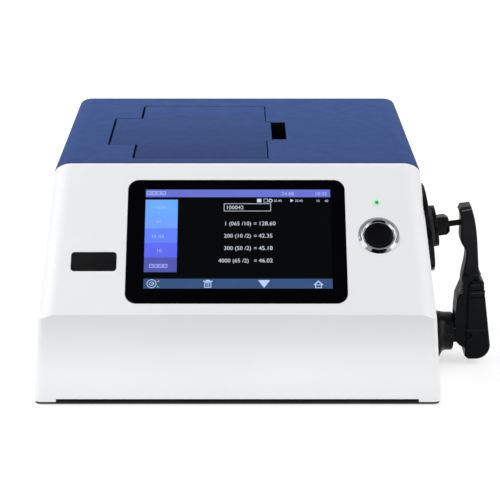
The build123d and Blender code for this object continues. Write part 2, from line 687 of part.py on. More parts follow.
base_plate.part.label = "base_plate"
export_step(base_plate.part, "parts/base_plate.step")

with BuildPart() as feet:
    with BuildSketch(level(0)):
        with Locations(*FEET):
            Circle(FOOT_R)
    extrude(amount=FOOT_H)
    fillet(feet.edges().group_by(Axis.Z)[0], 0.4)
    with BuildSketch(level(FOOT_H)):
        with Locations(*FEET):
            Circle(STEM_R)
    extrude(amount=PLATE_T)
    with BuildSketch(level(BASE_Z)):
        with Locations(*FEET):
            Circle(STEM_R + 1)
    extrude(amount=1.5)
feet.part.label = "feet"
export_step(feet.part, "parts/feet.step")

SCREW_L = 14.0
with BuildPart() as base_screws:
    with BuildSketch(level(FOOT_H)):
        with Locations(*SCREW_POSTS):
            Circle(HEAD_R)
    extrude(amount=HEAD_R - SCREW_R, taper=45)
    with BuildSketch(level(FOOT_H)):
        with Locations(*SCREW_POSTS):
            Circle(SCREW_R)
    extrude(amount=SCREW_L)
base_screws.part.label = "base_screws"
export_step(base_screws.part, "parts/base_screws.step")

# ---------------------------------------------------------------- rear panel and its fittings
REAR_T = 2.0
SWITCH_X, SWITCH_W, SWITCH_H = -78.0, 13.0, 19.0
JACK_X, JACK_R = -50.0, 6.0
USB_X, USB_W, USB_H = -24.0, 12.2, 11.0
SERIAL_X, SERIAL_W, SERIAL_H, SERIAL_PITCH = 10.0, 18.0, 10.0, 25.0
VENT_X, VENTS, VENT_PITCH, VENT_L, VENT_W = 60.0, 9, 6.0, 40.0, 2.6

REAR_BAY = 7.0          # how far the panel is set in
FACE_Y = BACK_Y - REAR_BAY

with BuildPart() as rear_panel:
    # tray through the opening, with a flange against the inside of the wall
    with BuildSketch(across(BACK_Y - WALL)):
        with Locations((0, REAR_Z)):
            Rectangle(REAR_W + 2 * REAR_FRAME, REAR_H + 2 * REAR_FRAME)
    extrude(amount=REAR_T)
    with BuildSketch(across(BACK_Y - 0.4)):
        with Locations((0, REAR_Z)):
            RectangleRounded(REAR_W - 2 * FIT, REAR_H - 2 * FIT, 5 - FIT)
    extrude(amount=REAR_BAY - 0.4 + REAR_T)
    with BuildSketch(across(BACK_Y)):
        with Locations((0, REAR_Z)):
            RectangleRounded(REAR_W - 2 * REAR_T, REAR_H - 2 * REAR_T, 5 - REAR_T)
    extrude(amount=REAR_BAY, mode=Mode.SUBTRACT)
    # cut-outs for the switch, inlet and sockets
    with BuildSketch(across(BACK_Y + 2)):
        with Locations((SWITCH_X, REAR_Z)):
            Rectangle(SWITCH_W, SWITCH_H)
        with Locations((JACK_X, REAR_Z)):
            Circle(JACK_R)
        with Locations((USB_X, REAR_Z)):
            Rectangle(USB_W, USB_H)
        with Locations((SERIAL_X, REAR_Z)):
            Trapezoid(SERIAL_W, SERIAL_H, 80, rotation=180)
        with Locations((SERIAL_X - SERIAL_PITCH / 2, REAR_Z), (SERIAL_X + SERIAL_PITCH / 2, REAR_Z)):
            Circle(1.6)
    extrude(amount=20, mode=Mode.SUBTRACT)
    # cooling slots
    with BuildSketch(across(BACK_Y + 2)):
        with Locations((VENT_X, REAR_Z)):
            with GridLocations(VENT_PITCH, 0, VENTS, 1):
                SlotOverall(VENT_L, VENT_W, rotation=90)
    extrude(amount=20, mode=Mode.SUBTRACT)
rear_panel.part.label = "rear_panel"
export_step(rear_panel.part, "parts/rear_panel.step")

SWITCH_BODY_D = 18.0
ROCK = 8.0              # the rocker rests this far to one side of level
ROCKER_PIN_R = 1.2
ROCKER_Y = FACE_Y - 1.0

with BuildPart() as power_switch:
    with BuildSketch(across(FACE_Y + 1.5)):
        with Locations((SWITCH_X, REAR_Z)):
            RectangleRounded(SWITCH_W + 4, SWITCH_H + 4, 1)
    extrude(amount=1.5)
    with BuildSketch(across(FACE_Y)):
        with Locations((SWITCH_X, REAR_Z)):
            Rectangle(SWITCH_W - 0.2, SWITCH_H - 0.2)
    extrude(amount=SWITCH_BODY_D)
    with BuildSketch(across(FACE_Y + 1.5)):
        with Locations((SWITCH_X, REAR_Z)):
            Rectangle(SWITCH_W - 3, SWITCH_H - 3)
    extrude(amount=SWITCH_BODY_D - 2, mode=Mode.SUBTRACT)
    # pivot pin across the opening
    with BuildSketch(side(SWITCH_X - SWITCH_W / 2 + 0.5)):
        with Locations((ROCKER_Y, REAR_Z)):
            Circle(ROCKER_PIN_R)
    extrude(amount=SWITCH_W - 1)
    # terminals
    with BuildSketch(across(FACE_Y - SWITCH_BODY_D)):
        with Locations((SWITCH_X, REAR_Z)):
            with GridLocations(0, 9, 1, 2):
                Rectangle(5, 0.8)
    extrude(amount=8)
power_switch.part.label = "power_switch"
export_step(power_switch.part, "parts/power_switch.step")

with BuildPart() as switch_rocker:
    rocker_plane = Plane(origin=(BODY_X + SWITCH_X - (SWITCH_W - 4) / 2, ROCKER_Y, REAR_Z),
                         x_dir=(0, cos(radians(ROCK)), sin(radians(ROCK))), z_dir=(1, 0, 0))
    half = (SWITCH_H - 4) / 2
    with BuildSketch(rocker_plane):
        with BuildLine():
            Polyline((-4, -half + 1.5), (2.6, -half), (1.4, 0), (2.6, half), (-4, half - 1.5), close=True)
        make_face()
        Circle(ROCKER_PIN_R + RUN, mode=Mode.SUBTRACT)
    extrude(amount=SWITCH_W - 4)
switch_rocker.part.label = "switch_rocker"
export_step(switch_rocker.part, "parts/switch_rocker.step")

with BuildPart() as dc_jack:
    with BuildSketch(across(FACE_Y + 2)):
        with Locations((JACK_X, REAR_Z)):
            Circle(JACK_R + 2)
    extrude(amount=2)
    with BuildSketch(across(FACE_Y)):
        with Locations((JACK_X, REAR_Z)):
            Circle(JACK_R - 0.05)
    extrude(amount=16)
    with BuildSketch(across(FACE_Y + 2)):
        with Locations((JACK_X, REAR_Z)):
            Circle(JACK_R - 1.6)
    extrude(amount=12, mode=Mode.SUBTRACT)
    with BuildSketch(across(FACE_Y - 11)):
        with Locations((JACK_X, REAR_Z)):
            Circle(1.1)
    extrude(amount=-11.5)
dc_jack.part.label = "dc_jack"
export_step(dc_jack.part, "parts/dc_jack.step")

with BuildPart() as usb_port:
    with BuildSketch(across(FACE_Y + 0.3)):
        with Locations((USB_X, REAR_Z)):
            Rectangle(USB_W - 0.2, USB_H - 0.2)
    extrude(amount=17)
    with BuildSketch(across(FACE_Y + 0.3)):
        with Locations((USB_X, REAR_Z)):
            Rectangle(USB_W - 2, USB_H - 2)
            Rectangle(USB_W - 6, USB_H - 7.5, mode=Mode.SUBTRACT)
    extrude(amount=10, mode=Mode.SUBTRACT)
usb_port.part.label = "usb_port"
export_step(usb_port.part, "parts/usb_port.step")

with BuildPart() as serial_port:
    with BuildSketch(across(FACE_Y + 0.8)):
        with Locations((SERIAL_X, REAR_Z)):
            RectangleRounded(SERIAL_PITCH + 7, SERIAL_H + 4, 1)
    extrude(amount=0.8)
    with BuildSketch(across(FACE_Y + 5)):
        with Locations((SERIAL_X, REAR_Z)):
            Trapezoid(SERIAL_W - 1, SERIAL_H - 1, 80, rotation=180)
    extrude(amount=15)
    with BuildSketch(across(FACE_Y + 5)):
        with Locations((SERIAL_X, REAR_Z)):
            Trapezoid(SERIAL_W - 2.4, SERIAL_H - 2.4, 80, rotation=180)
    extrude(amount=6, mode=Mode.SUBTRACT)
    with BuildSketch(across(FACE_Y + 4.6)):
        with Locations((SERIAL_X, REAR_Z + 1.4)):
            with GridLocations(2.77, 0, 5, 1):
                Circle(0.5)
        with Locations((SERIAL_X, REAR_Z - 1.4)):
            with GridLocations(2.77, 0, 4, 1):
                Circle(0.5)
    extrude(amount=6)
    with BuildSketch(across(FACE_Y + 6)):
        with Locations((SERIAL_X, REAR_Z)):
            with GridLocations(SERIAL_PITCH, 0, 2, 1):
                RegularPolygon(2.6, 6)
    extrude(amount=6 - 0.8)
serial_port.part.label = "serial_port"
export_step(serial_port.part, "parts/serial_port.step")

# ---------------------------------------------------------------- display
GLASS_BACK = GLASS_T - GLASS_PROUD      # depth of the glass's back below the panel's face
LCD_BACK = GLASS_BACK + LCD_T
FRAME_WALL = 1.5
FRAME_CLEAR = 4.0
BOARD_GAP = 3.6

with BuildPart() as touch_glass:
    with BuildSketch(panel.offset(-GLASS_BACK)):
        with Locations((GLASS_X, GLASS_U)):
            RectangleRounded(GLASS_W, GLASS_H, GLASS_R)
    extrude(amount=GLASS_T)
touch_glass.part.label = "touch_glass"
export_step(touch_glass.part, "parts/touch_glass.step")

with BuildPart() as lcd_panel:
    with BuildSketch(panel.offset(-GLASS_BACK)):
        with Locations((LCD_X, LCD_U)):
            Rectangle(LCD_W, LCD_H)
    extrude(amount=-LCD_T)
lcd_panel.part.label = "lcd_panel"
export_step(lcd_panel.part, "parts/lcd_panel.step")

with BuildPart() as display_frame:
    with BuildSketch(panel.offset(-WALL)):
        with Locations((LCD_X, LCD_U)):
            RectangleRounded(LCD_W + FRAME_CLEAR + 2 * FRAME_WALL, LCD_H + FRAME_CLEAR + 2 * FRAME_WALL, 2)
    extrude(amount=-(LCD_BACK + FRAME_T - WALL))
    with BuildSketch(panel.offset(-WALL)):
        with Locations((LCD_X, LCD_U)):
            Rectangle(LCD_W + FRAME_CLEAR, LCD_H + FRAME_CLEAR)
    extrude(amount=-(LCD_BACK - WALL), mode=Mode.SUBTRACT)
    with BuildSketch(panel.offset(-LCD_BACK)):
        with Locations((LCD_X, LCD_U)):
            with GridLocations(LCD_W / 2, 0, 2, 1):
                RectangleRounded(LCD_W / 2 - 22, LCD_H - 40, 4)
    extrude(amount=-FRAME_T, mode=Mode.SUBTRACT)
    # standoffs for the driver board
    with BuildSketch(panel.offset(-LCD_BACK - FRAME_T)):
        with Locations((LCD_X, LCD_U)):
            with GridLocations(LCD_W - 12, LCD_H - 12, 2, 2):
                Circle(2.5)
    extrude(amount=-BOARD_GAP)
display_frame.part.label = "display_frame"
export_step(display_frame.part, "parts/display_frame.step")

with BuildPart() as display_board:
    with BuildSketch(panel.offset(-LCD_BACK - FRAME_T - BOARD_GAP)):
        with Locations((LCD_X, LCD_U)):
            RectangleRounded(LCD_W - 4, LCD_H - 4, 2)
    extrude(amount=-BOARD_T)
    with BuildSketch(panel.offset(-LCD_BACK - FRAME_T - BOARD_GAP - BOARD_T)):
        with Locations((LCD_X - 30, LCD_U + 8), (LCD_X + 24, LCD_U - 6)):
            Rectangle(22, 22)
        with Locations((LCD_X, LCD_U - 34)):
            Rectangle(50, 6)
    extrude(amount=-2.0)
display_board.part.label = "display_board"
export_step(display_board.part, "parts/display_board.step")

# ---------------------------------------------------------------- measure button, status lamp, badge plate
button = on_panel(BUTTON_X, BUTTON_U)
BORE_CLEAR = 0.1
CAP_T = 4.0
STEM_PLUNGER_R = 3.5
SWITCH_T = 3.5

with BuildPart() as button_ring:
    with BuildSketch(Plane(origin=button.origin, x_dir=button.x_dir, z_dir=-button.y_dir)):
        with BuildLine():
            Line((CAP_R + BORE_CLEAR, -BARREL_L), (CAP_R + BORE_CLEAR, RING_LIP * 0.45))
            Spline((CAP_R + BORE_CLEAR, RING_LIP * 0.45), (CAP_R + 1.6, RING_LIP), (RING_R - 1.2, RING_LIP * 0.8),
                   (RING_R, 0))
            Polyline((RING_R, 0), (BARREL_R, 0), (BARREL_R, -BARREL_L), (CAP_R + BORE_CLEAR, -BARREL_L))
        make_face()
    revolve(axis=Axis(button.origin, button.z_dir))
button_ring.part.label = "button_ring"
export_step(button_ring.part, "parts/button_ring.step")

with BuildPart() as button_nut:
    with BuildSketch(button.offset(-WALL)):
        RegularPolygon(BARREL_R + 3.6, 6)
        Circle(BARREL_R, mode=Mode.SUBTRACT)
    extrude(amount=-3.5)
button_nut.part.label = "button_nut"
export_step(button_nut.part, "parts/button_nut.step")

with BuildPart() as button_cap:
    with BuildSketch(button.offset(CAP_PROUD - CAP_T)):
        Circle(CAP_R)
    extrude(amount=CAP_T)
    fillet(button_cap.edges().filter_by(GeomType.CIRCLE).sort_by(Axis(button.origin, button.z_dir))[-1], 0.8)
    with BuildSketch(button.offset(CAP_PROUD - CAP_T)):
        Circle(STEM_PLUNGER_R)
    extrude(amount=-(BARREL_L + 1 - CAP_T + CAP_PROUD))
button_cap.part.label = "button_cap"
export_step(button_cap.part, "parts/button_cap.step")

with BuildPart() as button_switch:
    with BuildSketch(button.offset(-BARREL_L)):
        Circle(BARREL_R)
    extrude(amount=-SWITCH_T)
    with BuildSketch(button.offset(-BARREL_L)):
        Circle(STEM_PLUNGER_R + BORE_CLEAR)
    extrude(amount=-3.2, mode=Mode.SUBTRACT)
button_switch.part.label = "button_switch"
export_step(button_switch.part, "parts/button_switch.step")

lamp = on_panel(LED_X, LED_U)
with BuildPart() as status_led:
    with BuildSketch(lamp.offset(-5)):
        Circle(LED_R)
    extrude(amount=5.3)
    fillet(status_led.edges().filter_by(GeomType.CIRCLE).sort_by(Axis(lamp.origin, lamp.z_dir))[-1], 0.8)
    with BuildSketch(lamp.offset(-WALL)):
        Circle(LED_R + 0.8)
    extrude(amount=-1)
status_led.part.label = "status_led"
export_step(status_led.part, "parts/status_led.step")

with BuildPart() as badge_plate:
    with BuildSketch(panel.offset(BADGE_PROUD)):
        with Locations((BADGE_X, BADGE_U)):
            RectangleRounded(BADGE_W, BADGE_H, 2.8)
    extrude(amount=-BADGE_T)
    chamfer(badge_plate.faces().sort_by(Axis(panel.origin, panel.z_dir))[-1].edges(), 0.2)
badge_plate.part.label = "badge_plate"
export_step(badge_plate.part, "parts/badge_plate.step")

# ---------------------------------------------------------------- measuring port
COLLAR_EDGE = 1.6
SPIGOT_L = 14.0

with BuildPart() as port_collar:
    # wedge ring between the drafted wall and the tilted face
    with BuildSketch(port):
        Circle(PORT_R)
    extrude(amount=-14)
    fillet(port_collar.edges().filter_by(GeomType.CIRCLE).sort_by(Axis(port.origin, port.z_dir))[-1], COLLAR_EDGE)
    add(outer_form, mode=Mode.SUBTRACT)
    # spigot through the wall
    with BuildSketch(port.offset(-2)):
        Circle(SPIGOT_R)
    extrude(amount=-(SPIGOT_L - 2))
    # seat of the aperture disc, and the passage to the sphere
    with BuildSketch(port):
        Circle(BORE_R + RUN)
    extrude(amount=-APERTURE_T, mode=Mode.SUBTRACT)
    with BuildSketch(port):
        Circle(BORE_R - 4)
    extrude(amount=-SPIGOT_L - 5, mode=Mode.SUBTRACT)
port_collar.part.label = "port_collar"
export_step(port_collar.part, "parts/port_collar.step")

with BuildPart() as aperture_disc:
    with BuildSketch(port.offset(-APERTURE_T)):
        Circle(BORE_R)
    extrude(amount=APERTURE_T - 0.3)
    with BuildSketch(port):
        Circle(APERTURE_R)
    extrude(amount=-APERTURE_T - 1, mode=Mode.SUBTRACT)
    chamfer(aperture_disc.edges().filter_by(GeomType.CIRCLE).filter_by(
        lambda e: abs(e.radius - APERTURE_R) < 0.1).sort_by(Axis(port.origin, port.z_dir))[-1], 2.5)
    # grip notches
    with BuildSketch(port):
        with PolarLocations(BORE_R - 3, 3):
            Circle(1.6)
    extrude(amount=-1.8, mode=Mode.SUBTRACT)
aperture_disc.part.label = "aperture_disc"
export_step(aperture_disc.part, "parts/aperture_disc.step")

# ---------------------------------------------------------------- integrating sphere, split front and back
sphere_centre = port.offset(-SPHERE_IN)
SPHERE_X = sphere_centre.origin.X - BODY_X
SPHERE_Z = sphere_centre.origin.Z
SPHERE_CENTRE = (BODY_X + SPHERE_X, PORT_Y, SPHERE_Z)
LAMP_NECK = SPHERE_R + SPHERE_FLANGE + 1   # sphere's centre to the end of the lamp neck
FEED_R = 9.0            # barrel from the sphere to the spectrometer
FLANGE_T = 2.5
LAMP_R = 11.0

inward = Plane(origin=sphere_centre.origin, x_dir=sphere_centre.x_dir, z_dir=-sphere_centre.z_dir)
rearward = Plane(origin=sphere_centre.origin, x_dir=(1, 0, 0), z_dir=(0, 1, 0))
FEED_NECK = SPHERE_R + 4

NECKS = (
    # plane, radius, bore, sphere's centre to the end
    (sphere_centre, NECK_R, NECK_R - SPHERE_T, SPHERE_IN - SPIGOT_L),
    (inward, LAMP_R, LAMP_R - 3, LAMP_NECK),
    (rearward, FEED_R, FEED_R - 2, FEED_NECK),
)

with BuildPart() as sphere_necks:
    for neck_plane, radius, bore, far in NECKS:
        near = sqrt((SPHERE_R - SPHERE_T / 2) ** 2 - ((radius + bore) / 2) ** 2)
        with BuildSketch(neck_plane.offset(near)):
            Circle(radius)
            Circle(bore, mode=Mode.SUBTRACT)
        extrude(amount=far - near)


def sphere_half(sign, keep):
    """One half of the sphere, open at the upright plane through its centre."""
    with BuildPart() as half:
        with BuildSketch(side(SPHERE_X)):
            with BuildLine():
                reach = sin(radians(45))
                inner_r = SPHERE_R - SPHERE_T
                ThreePointArc((PORT_Y, SPHERE_Z + SPHERE_R),
                              (PORT_Y + sign * SPHERE_R * reach, SPHERE_Z + SPHERE_R * reach),
                              (PORT_Y + sign * SPHERE_R, SPHERE_Z))
                Line((PORT_Y + sign * SPHERE_R, SPHERE_Z), (PORT_Y + sign * inner_r, SPHERE_Z))
                ThreePointArc((PORT_Y + sign * inner_r, SPHERE_Z),
                              (PORT_Y + sign * inner_r * reach, SPHERE_Z + inner_r * reach),
                              (PORT_Y, SPHERE_Z + inner_r))
                Line((PORT_Y, SPHERE_Z + inner_r), (PORT_Y, SPHERE_Z + SPHERE_R))
            make_face()
        revolve(axis=Axis(SPHERE_CENTRE, (0, 1, 0)))
        with BuildSketch(Plane(origin=SPHERE_CENTRE, x_dir=(1, 0, 0), z_dir=(0, sign, 0))):
            Circle(SPHERE_R + SPHERE_FLANGE)
            Circle(SPHERE_R - SPHERE_T / 2, mode=Mode.SUBTRACT)
        extrude(amount=FLANGE_T)
        # room for the port's spigot
        with BuildSketch(sphere_centre.offset(SPHERE_IN - SPIGOT_L)):
            Circle(SPIGOT_R + 1)
        extrude(amount=SPHERE_R, mode=Mode.SUBTRACT)
        add(split(sphere_necks.part, bisect_by=across(PORT_Y), keep=keep, mode=Mode.PRIVATE))
        for neck_plane, radius, bore, far in NECKS:
            with BuildSketch(neck_plane.offset(SPHERE_R / 2)):
                Circle(bore)
            extrude(amount=SPHERE_R, mode=Mode.SUBTRACT)
    return half.part


with BuildPart() as sphere_front:
    add(sphere_half(-1, Keep.TOP))
sphere_front.part.label = "sphere_front"
export_step(sphere_front.part, "parts/sphere_front.step")

with BuildPart() as sphere_back:
    add(sphere_half(1, Keep.BOTTOM))
sphere_back.part.label = "sphere_back"
export_step(sphere_back.part, "parts/sphere_back.step")

DECK_TOP = DECK_Z + DECK_T
SADDLE_W = 44.0
with BuildPart() as sphere_stand:
    with BuildSketch(level(DECK_TOP)):
        with Locations((SPHERE_X, PORT_Y)):
            RectangleRounded(SADDLE_W, SADDLE_W, 4)
    extrude(amount=SPHERE_Z - SPHERE_R - DECK_TOP + 8)
    with Locations(SPHERE_CENTRE):
        Sphere(SPHERE_R, rotation=(0, 0, 90), mode=Mode.SUBTRACT)
    # slot for the joint flange
    with BuildSketch(across(PORT_Y - FLANGE_T)):
        with Locations((SPHERE_X, SPHERE_Z)):
            Circle(SPHERE_R + SPHERE_FLANGE)
    extrude(amount=-2 * FLANGE_T, mode=Mode.SUBTRACT)
sphere_stand.part.label = "sphere_stand"
export_step(sphere_stand.part, "parts/sphere_stand.step")

LAMP_L = 26.0
with BuildPart() as sphere_lamp:
    with BuildSketch(sphere_centre.offset(-LAMP_NECK)):
        Circle(LAMP_R + 3)
    extrude(amount=-LAMP_L)
    with BuildSketch(sphere_centre.offset(-LAMP_NECK - 4)):
        with PolarLocations(LAMP_R + 3, 10):
            Rectangle(3, 2)
    extrude(amount=-LAMP_L, mode=Mode.SUBTRACT)
sphere_lamp.part.label = "sphere_lamp"
export_step(sphere_lamp.part, "parts/sphere_lamp.step")

# ---------------------------------------------------------------- spectrometer and its feed barrels
SPEC_X0 = 54.0
SPEC_X1 = 142.0
SPEC_D = 96.0
SPEC_H = 74.0
SPEC_Y0 = PORT_Y + SPHERE_R + 26.0

with BuildPart() as spectrometer:
    with BuildSketch(level(DECK_TOP)):
        with Locations(((SPEC_X0 + SPEC_X1) / 2, SPEC_Y0 + SPEC_D / 2)):
            RectangleRounded(SPEC_X1 - SPEC_X0, SPEC_D, 5)
    extrude(amount=SPEC_H)
    chamfer(spectrometer.faces().sort_by(Axis.Z)[-1].edges(), 1.5)
    # sockets for the two barrels
    with BuildSketch(across(SPEC_Y0)):
        with Locations((SPHERE_X, SPHERE_Z)):
            Circle(FEED_R + 3)
    extrude(amount=-4, mode=Mode.SUBTRACT)
    with BuildSketch(side(SPEC_X0)):
        with Locations((BEAM_Y, BEAM_Z)):
            Circle(BARREL_OD / 2)
    extrude(amount=4, mode=Mode.SUBTRACT)
spectrometer.part.label = "spectrometer"
export_step(spectrometer.part, "parts/spectrometer.step")

with BuildPart() as reflection_barrel:
    barrel_y0 = PORT_Y + FEED_NECK
    with BuildSketch(across(barrel_y0)):
        with Locations((SPHERE_X, SPHERE_Z)):
            Circle(FEED_R + 3)
            Circle(FEED_R - 2, mode=Mode.SUBTRACT)
    extrude(amount=-(SPEC_Y0 + 4 - barrel_y0))
reflection_barrel.part.label = "reflection_barrel"
export_step(reflection_barrel.part, "parts/reflection_barrel.step")

WINDOW_T = 2.0
with BuildPart() as transmission_barrel:
    with BuildSketch(side(CHAMBER_X1)):
        with Locations((BEAM_Y, BEAM_Z)):
            Circle(BARREL_OD / 2)
    extrude(amount=SPEC_X0 + 4 - CHAMBER_X1)
    with BuildSketch(side(CHAMBER_X1)):
        with Locations((BEAM_Y, BEAM_Z)):
            Circle(BARREL_OD / 2 - 3)
    extrude(amount=-CHAMBER_T)
    with BuildSketch(side(CHAMBER_X1 - CHAMBER_T)):
        with Locations((BEAM_Y, BEAM_Z)):
            Circle(BEAM_D / 2)
    extrude(amount=SPEC_X0 + 10, mode=Mode.SUBTRACT)
transmission_barrel.part.label = "transmission_barrel"
export_step(transmission_barrel.part, "parts/transmission_barrel.step")

# ---------------------------------------------------------------- lamp house on the left of the chamber
HOUSE_W = 40.0
HOUSE_D = 46.0
HOUSE_GAP = 14.0
HOUSE_H = 66.0
HOUSE_X1 = CHAMBER_X0 - HOUSE_GAP
FIN_L = 12.0

with BuildPart() as lamp_house:
    with BuildSketch(level(DECK_TOP)):
        with Locations((HOUSE_X1 - HOUSE_W / 2 + FIN_L / 2, BEAM_Y)):
            Rectangle(HOUSE_W - FIN_L, HOUSE_D)
    extrude(amount=HOUSE_H)
    with BuildSketch(side(HOUSE_X1)):
        with Locations((BEAM_Y, BEAM_Z)):
            Circle(BARREL_OD / 2)
    extrude(amount=-6, mode=Mode.SUBTRACT)
lamp_house.part.label = "lamp_house"
export_step(lamp_house.part, "parts/lamp_house.step")

with BuildPart() as lamp_heatsink:
    with BuildSketch(side(HOUSE_X1 - HOUSE_W + FIN_L)):
        with Locations((BEAM_Y, DECK_TOP + HOUSE_H / 2)):
            Rectangle(HOUSE_D, HOUSE_H)
    extrude(amount=-3)
    with BuildSketch(side(HOUSE_X1 - HOUSE_W + FIN_L - 3)):
        with Locations((BEAM_Y, DECK_TOP + HOUSE_H / 2)):
            with GridLocations(HOUSE_D / 6, 0, 6, 1):
                Rectangle(1.6, HOUSE_H)
    extrude(amount=-(FIN_L - 3))
lamp_heatsink.part.label = "lamp_heatsink"
export_step(lamp_heatsink.part, "parts/lamp_heatsink.step")

with BuildPart() as lamp_barrel:
    with BuildSketch(side(CHAMBER_X0)):
        with Locations((BEAM_Y, BEAM_Z)):
            Circle(BARREL_OD / 2)
    extrude(amount=-(HOUSE_GAP + 6))
    with BuildSketch(side(CHAMBER_X0)):
        with Locations((BEAM_Y, BEAM_Z)):
            Circle(BARREL_OD / 2 - 3)
    extrude(amount=CHAMBER_T)
    with BuildSketch(side(CHAMBER_X0 + CHAMBER_T)):
        with Locations((BEAM_Y, BEAM_Z)):
            Circle(BEAM_D / 2)
    extrude(amount=-(HOUSE_GAP + 10), mode=Mode.SUBTRACT)
lamp_barrel.part.label = "lamp_barrel"
export_step(lamp_barrel.part, "parts/lamp_barrel.step")

# windows and the clip that holds a flat sample against the receiving side
with BuildPart() as chamber_windows:
    for window_x in (CHAMBER_X0 + CHAMBER_T - WINDOW_T - 0.5, CHAMBER_X1 - CHAMBER_T + 0.5):
        with BuildSketch(side(window_x)):
            with Locations((BEAM_Y, BEAM_Z)):
                Circle(BEAM_D / 2)
        extrude(amount=WINDOW_T)
chamber_windows.part.label = "chamber_windows"
export_step(chamber_windows.part, "parts/chamber_windows.step")

HOLDER_W = 50.0
HOLDER_T = 4.0
HOLDER_LIP = 8.0
with BuildPart() as sample_holder:
    holder_x = CHAMBER_X1 - CHAMBER_T
    # back plate with the beam hole
    with BuildSketch(side(holder_x)):
        with Locations((BEAM_Y, (FLOOR_Z + BEAM_Z + 24) / 2)):
            Rectangle(HOLDER_W, BEAM_Z + 24 - FLOOR_Z)
        with Locations((BEAM_Y, BEAM_Z)):
            Circle(BARREL_OD / 2, mode=Mode.SUBTRACT)
    extrude(amount=-HOLDER_T)
    # bottom shelf with an upturned edge, and two side guides
    with BuildSketch(side(holder_x - HOLDER_T)):
        with Locations((BEAM_Y, BEAM_Z - 24 - 2)):
            Rectangle(HOLDER_W, 4)
        with Locations((BEAM_Y - HOLDER_W / 2 + 1, BEAM_Z), (BEAM_Y + HOLDER_W / 2 - 1, BEAM_Z)):
            Rectangle(2, 48)
    extrude(amount=-HOLDER_LIP)
sample_holder.part.label = "sample_holder"
export_step(sample_holder.part, "parts/sample_holder.step")

# ---------------------------------------------------------------- circuit boards under the deck
BOARD_STAND = 9.0
MAIN_W, MAIN_D, MAIN_Y = 190.0, 130.0, 90.0
POWER_W, POWER_D, POWER_X, POWER_Y = 90.0, 80.0, -55.0, -80.0
MAIN_SCREWS = [(sx * (MAIN_W / 2 - 6), MAIN_Y + sy * (MAIN_D / 2 - 6)) for sx in (-1, 1) for sy in (-1, 1)]
POWER_SCREWS = [(POWER_X + sx * (POWER_W / 2 - 6), POWER_Y + sy * (POWER_D / 2 - 6))
                for sx in (-1, 1) for sy in (-1, 1)]

with BuildPart() as board_standoffs:
    with BuildSketch(level(BASE_Z)):
        with Locations(*MAIN_SCREWS, *POWER_SCREWS):
            RegularPolygon(3.2, 6)
    extrude(amount=BOARD_STAND)
board_standoffs.part.label = "board_standoffs"
export_step(board_standoffs.part, "parts/board_standoffs.step")

with BuildPart() as main_board:
    with BuildSketch(level(BASE_Z + BOARD_STAND)):
        with Locations((0, MAIN_Y)):
            RectangleRounded(MAIN_W, MAIN_D, 3)
    extrude(amount=BOARD_T)
    with BuildSketch(level(BASE_Z + BOARD_STAND + BOARD_T)):
        with Locations((-30, MAIN_Y - 10)):
            Rectangle(26, 26)
        with Locations((20, MAIN_Y - 10)):
            Rectangle(16, 22)
        with Locations((62, MAIN_Y + 20)):
            Rectangle(14, 14)
    extrude(amount=2.2)
    with BuildSketch(level(BASE_Z + BOARD_STAND + BOARD_T)):
        with Locations((-60, MAIN_Y + 45), (-20, MAIN_Y + 45), (20, MAIN_Y + 45), (60, MAIN_Y - 45)):
            Rectangle(24, 6)
    extrude(amount=7)
main_board.part.label = "main_board"
export_step(main_board.part, "parts/main_board.step")

with BuildPart() as power_board:
    with BuildSketch(level(BASE_Z + BOARD_STAND)):
        with Locations((POWER_X, POWER_Y)):
            RectangleRounded(POWER_W, POWER_D, 3)
    extrude(amount=BOARD_T)
    with BuildSketch(level(BASE_Z + BOARD_STAND + BOARD_T)):
        with Locations((POWER_X - 20, POWER_Y)):
            Rectangle(24, 30)
    extrude(amount=20)
    with BuildSketch(level(BASE_Z + BOARD_STAND + BOARD_T)):
        with Locations((POWER_X + 20, POWER_Y - 14), (POWER_X + 20, POWER_Y + 14)):
            Circle(8)
    extrude(amount=24)
power_board.part.label = "power_board"
export_step(power_board.part, "parts/power_board.step")

# ---------------------------------------------------------------- clamp arm and its bracket
arm_plane = across(ARM_Y)
own_plane = Plane(origin=(0, 0, 0), x_dir=(1, 0, 0), z_dir=(0, -1, 0))     # the arm is built round its own middle
SLOT_TOP_Z = PIVOT_Z + 22.0
SLOT_END_X = PIVOT_X + TONGUE_R + 1.0
CHEEK_W = 21.0
BAND_ZS = (61.6, 68.2)
BAND_W = 1.6
BAND_DEPTH = 0.9
ARM_EDGE_R = 2.5
BOSS_END_X = PIVOT_X - 13.0
FLANGE_END_X = BOSS_END_X - 14.0
PORT_AXIS_IN_ARM = 34.0     # port face to the stud's outer end

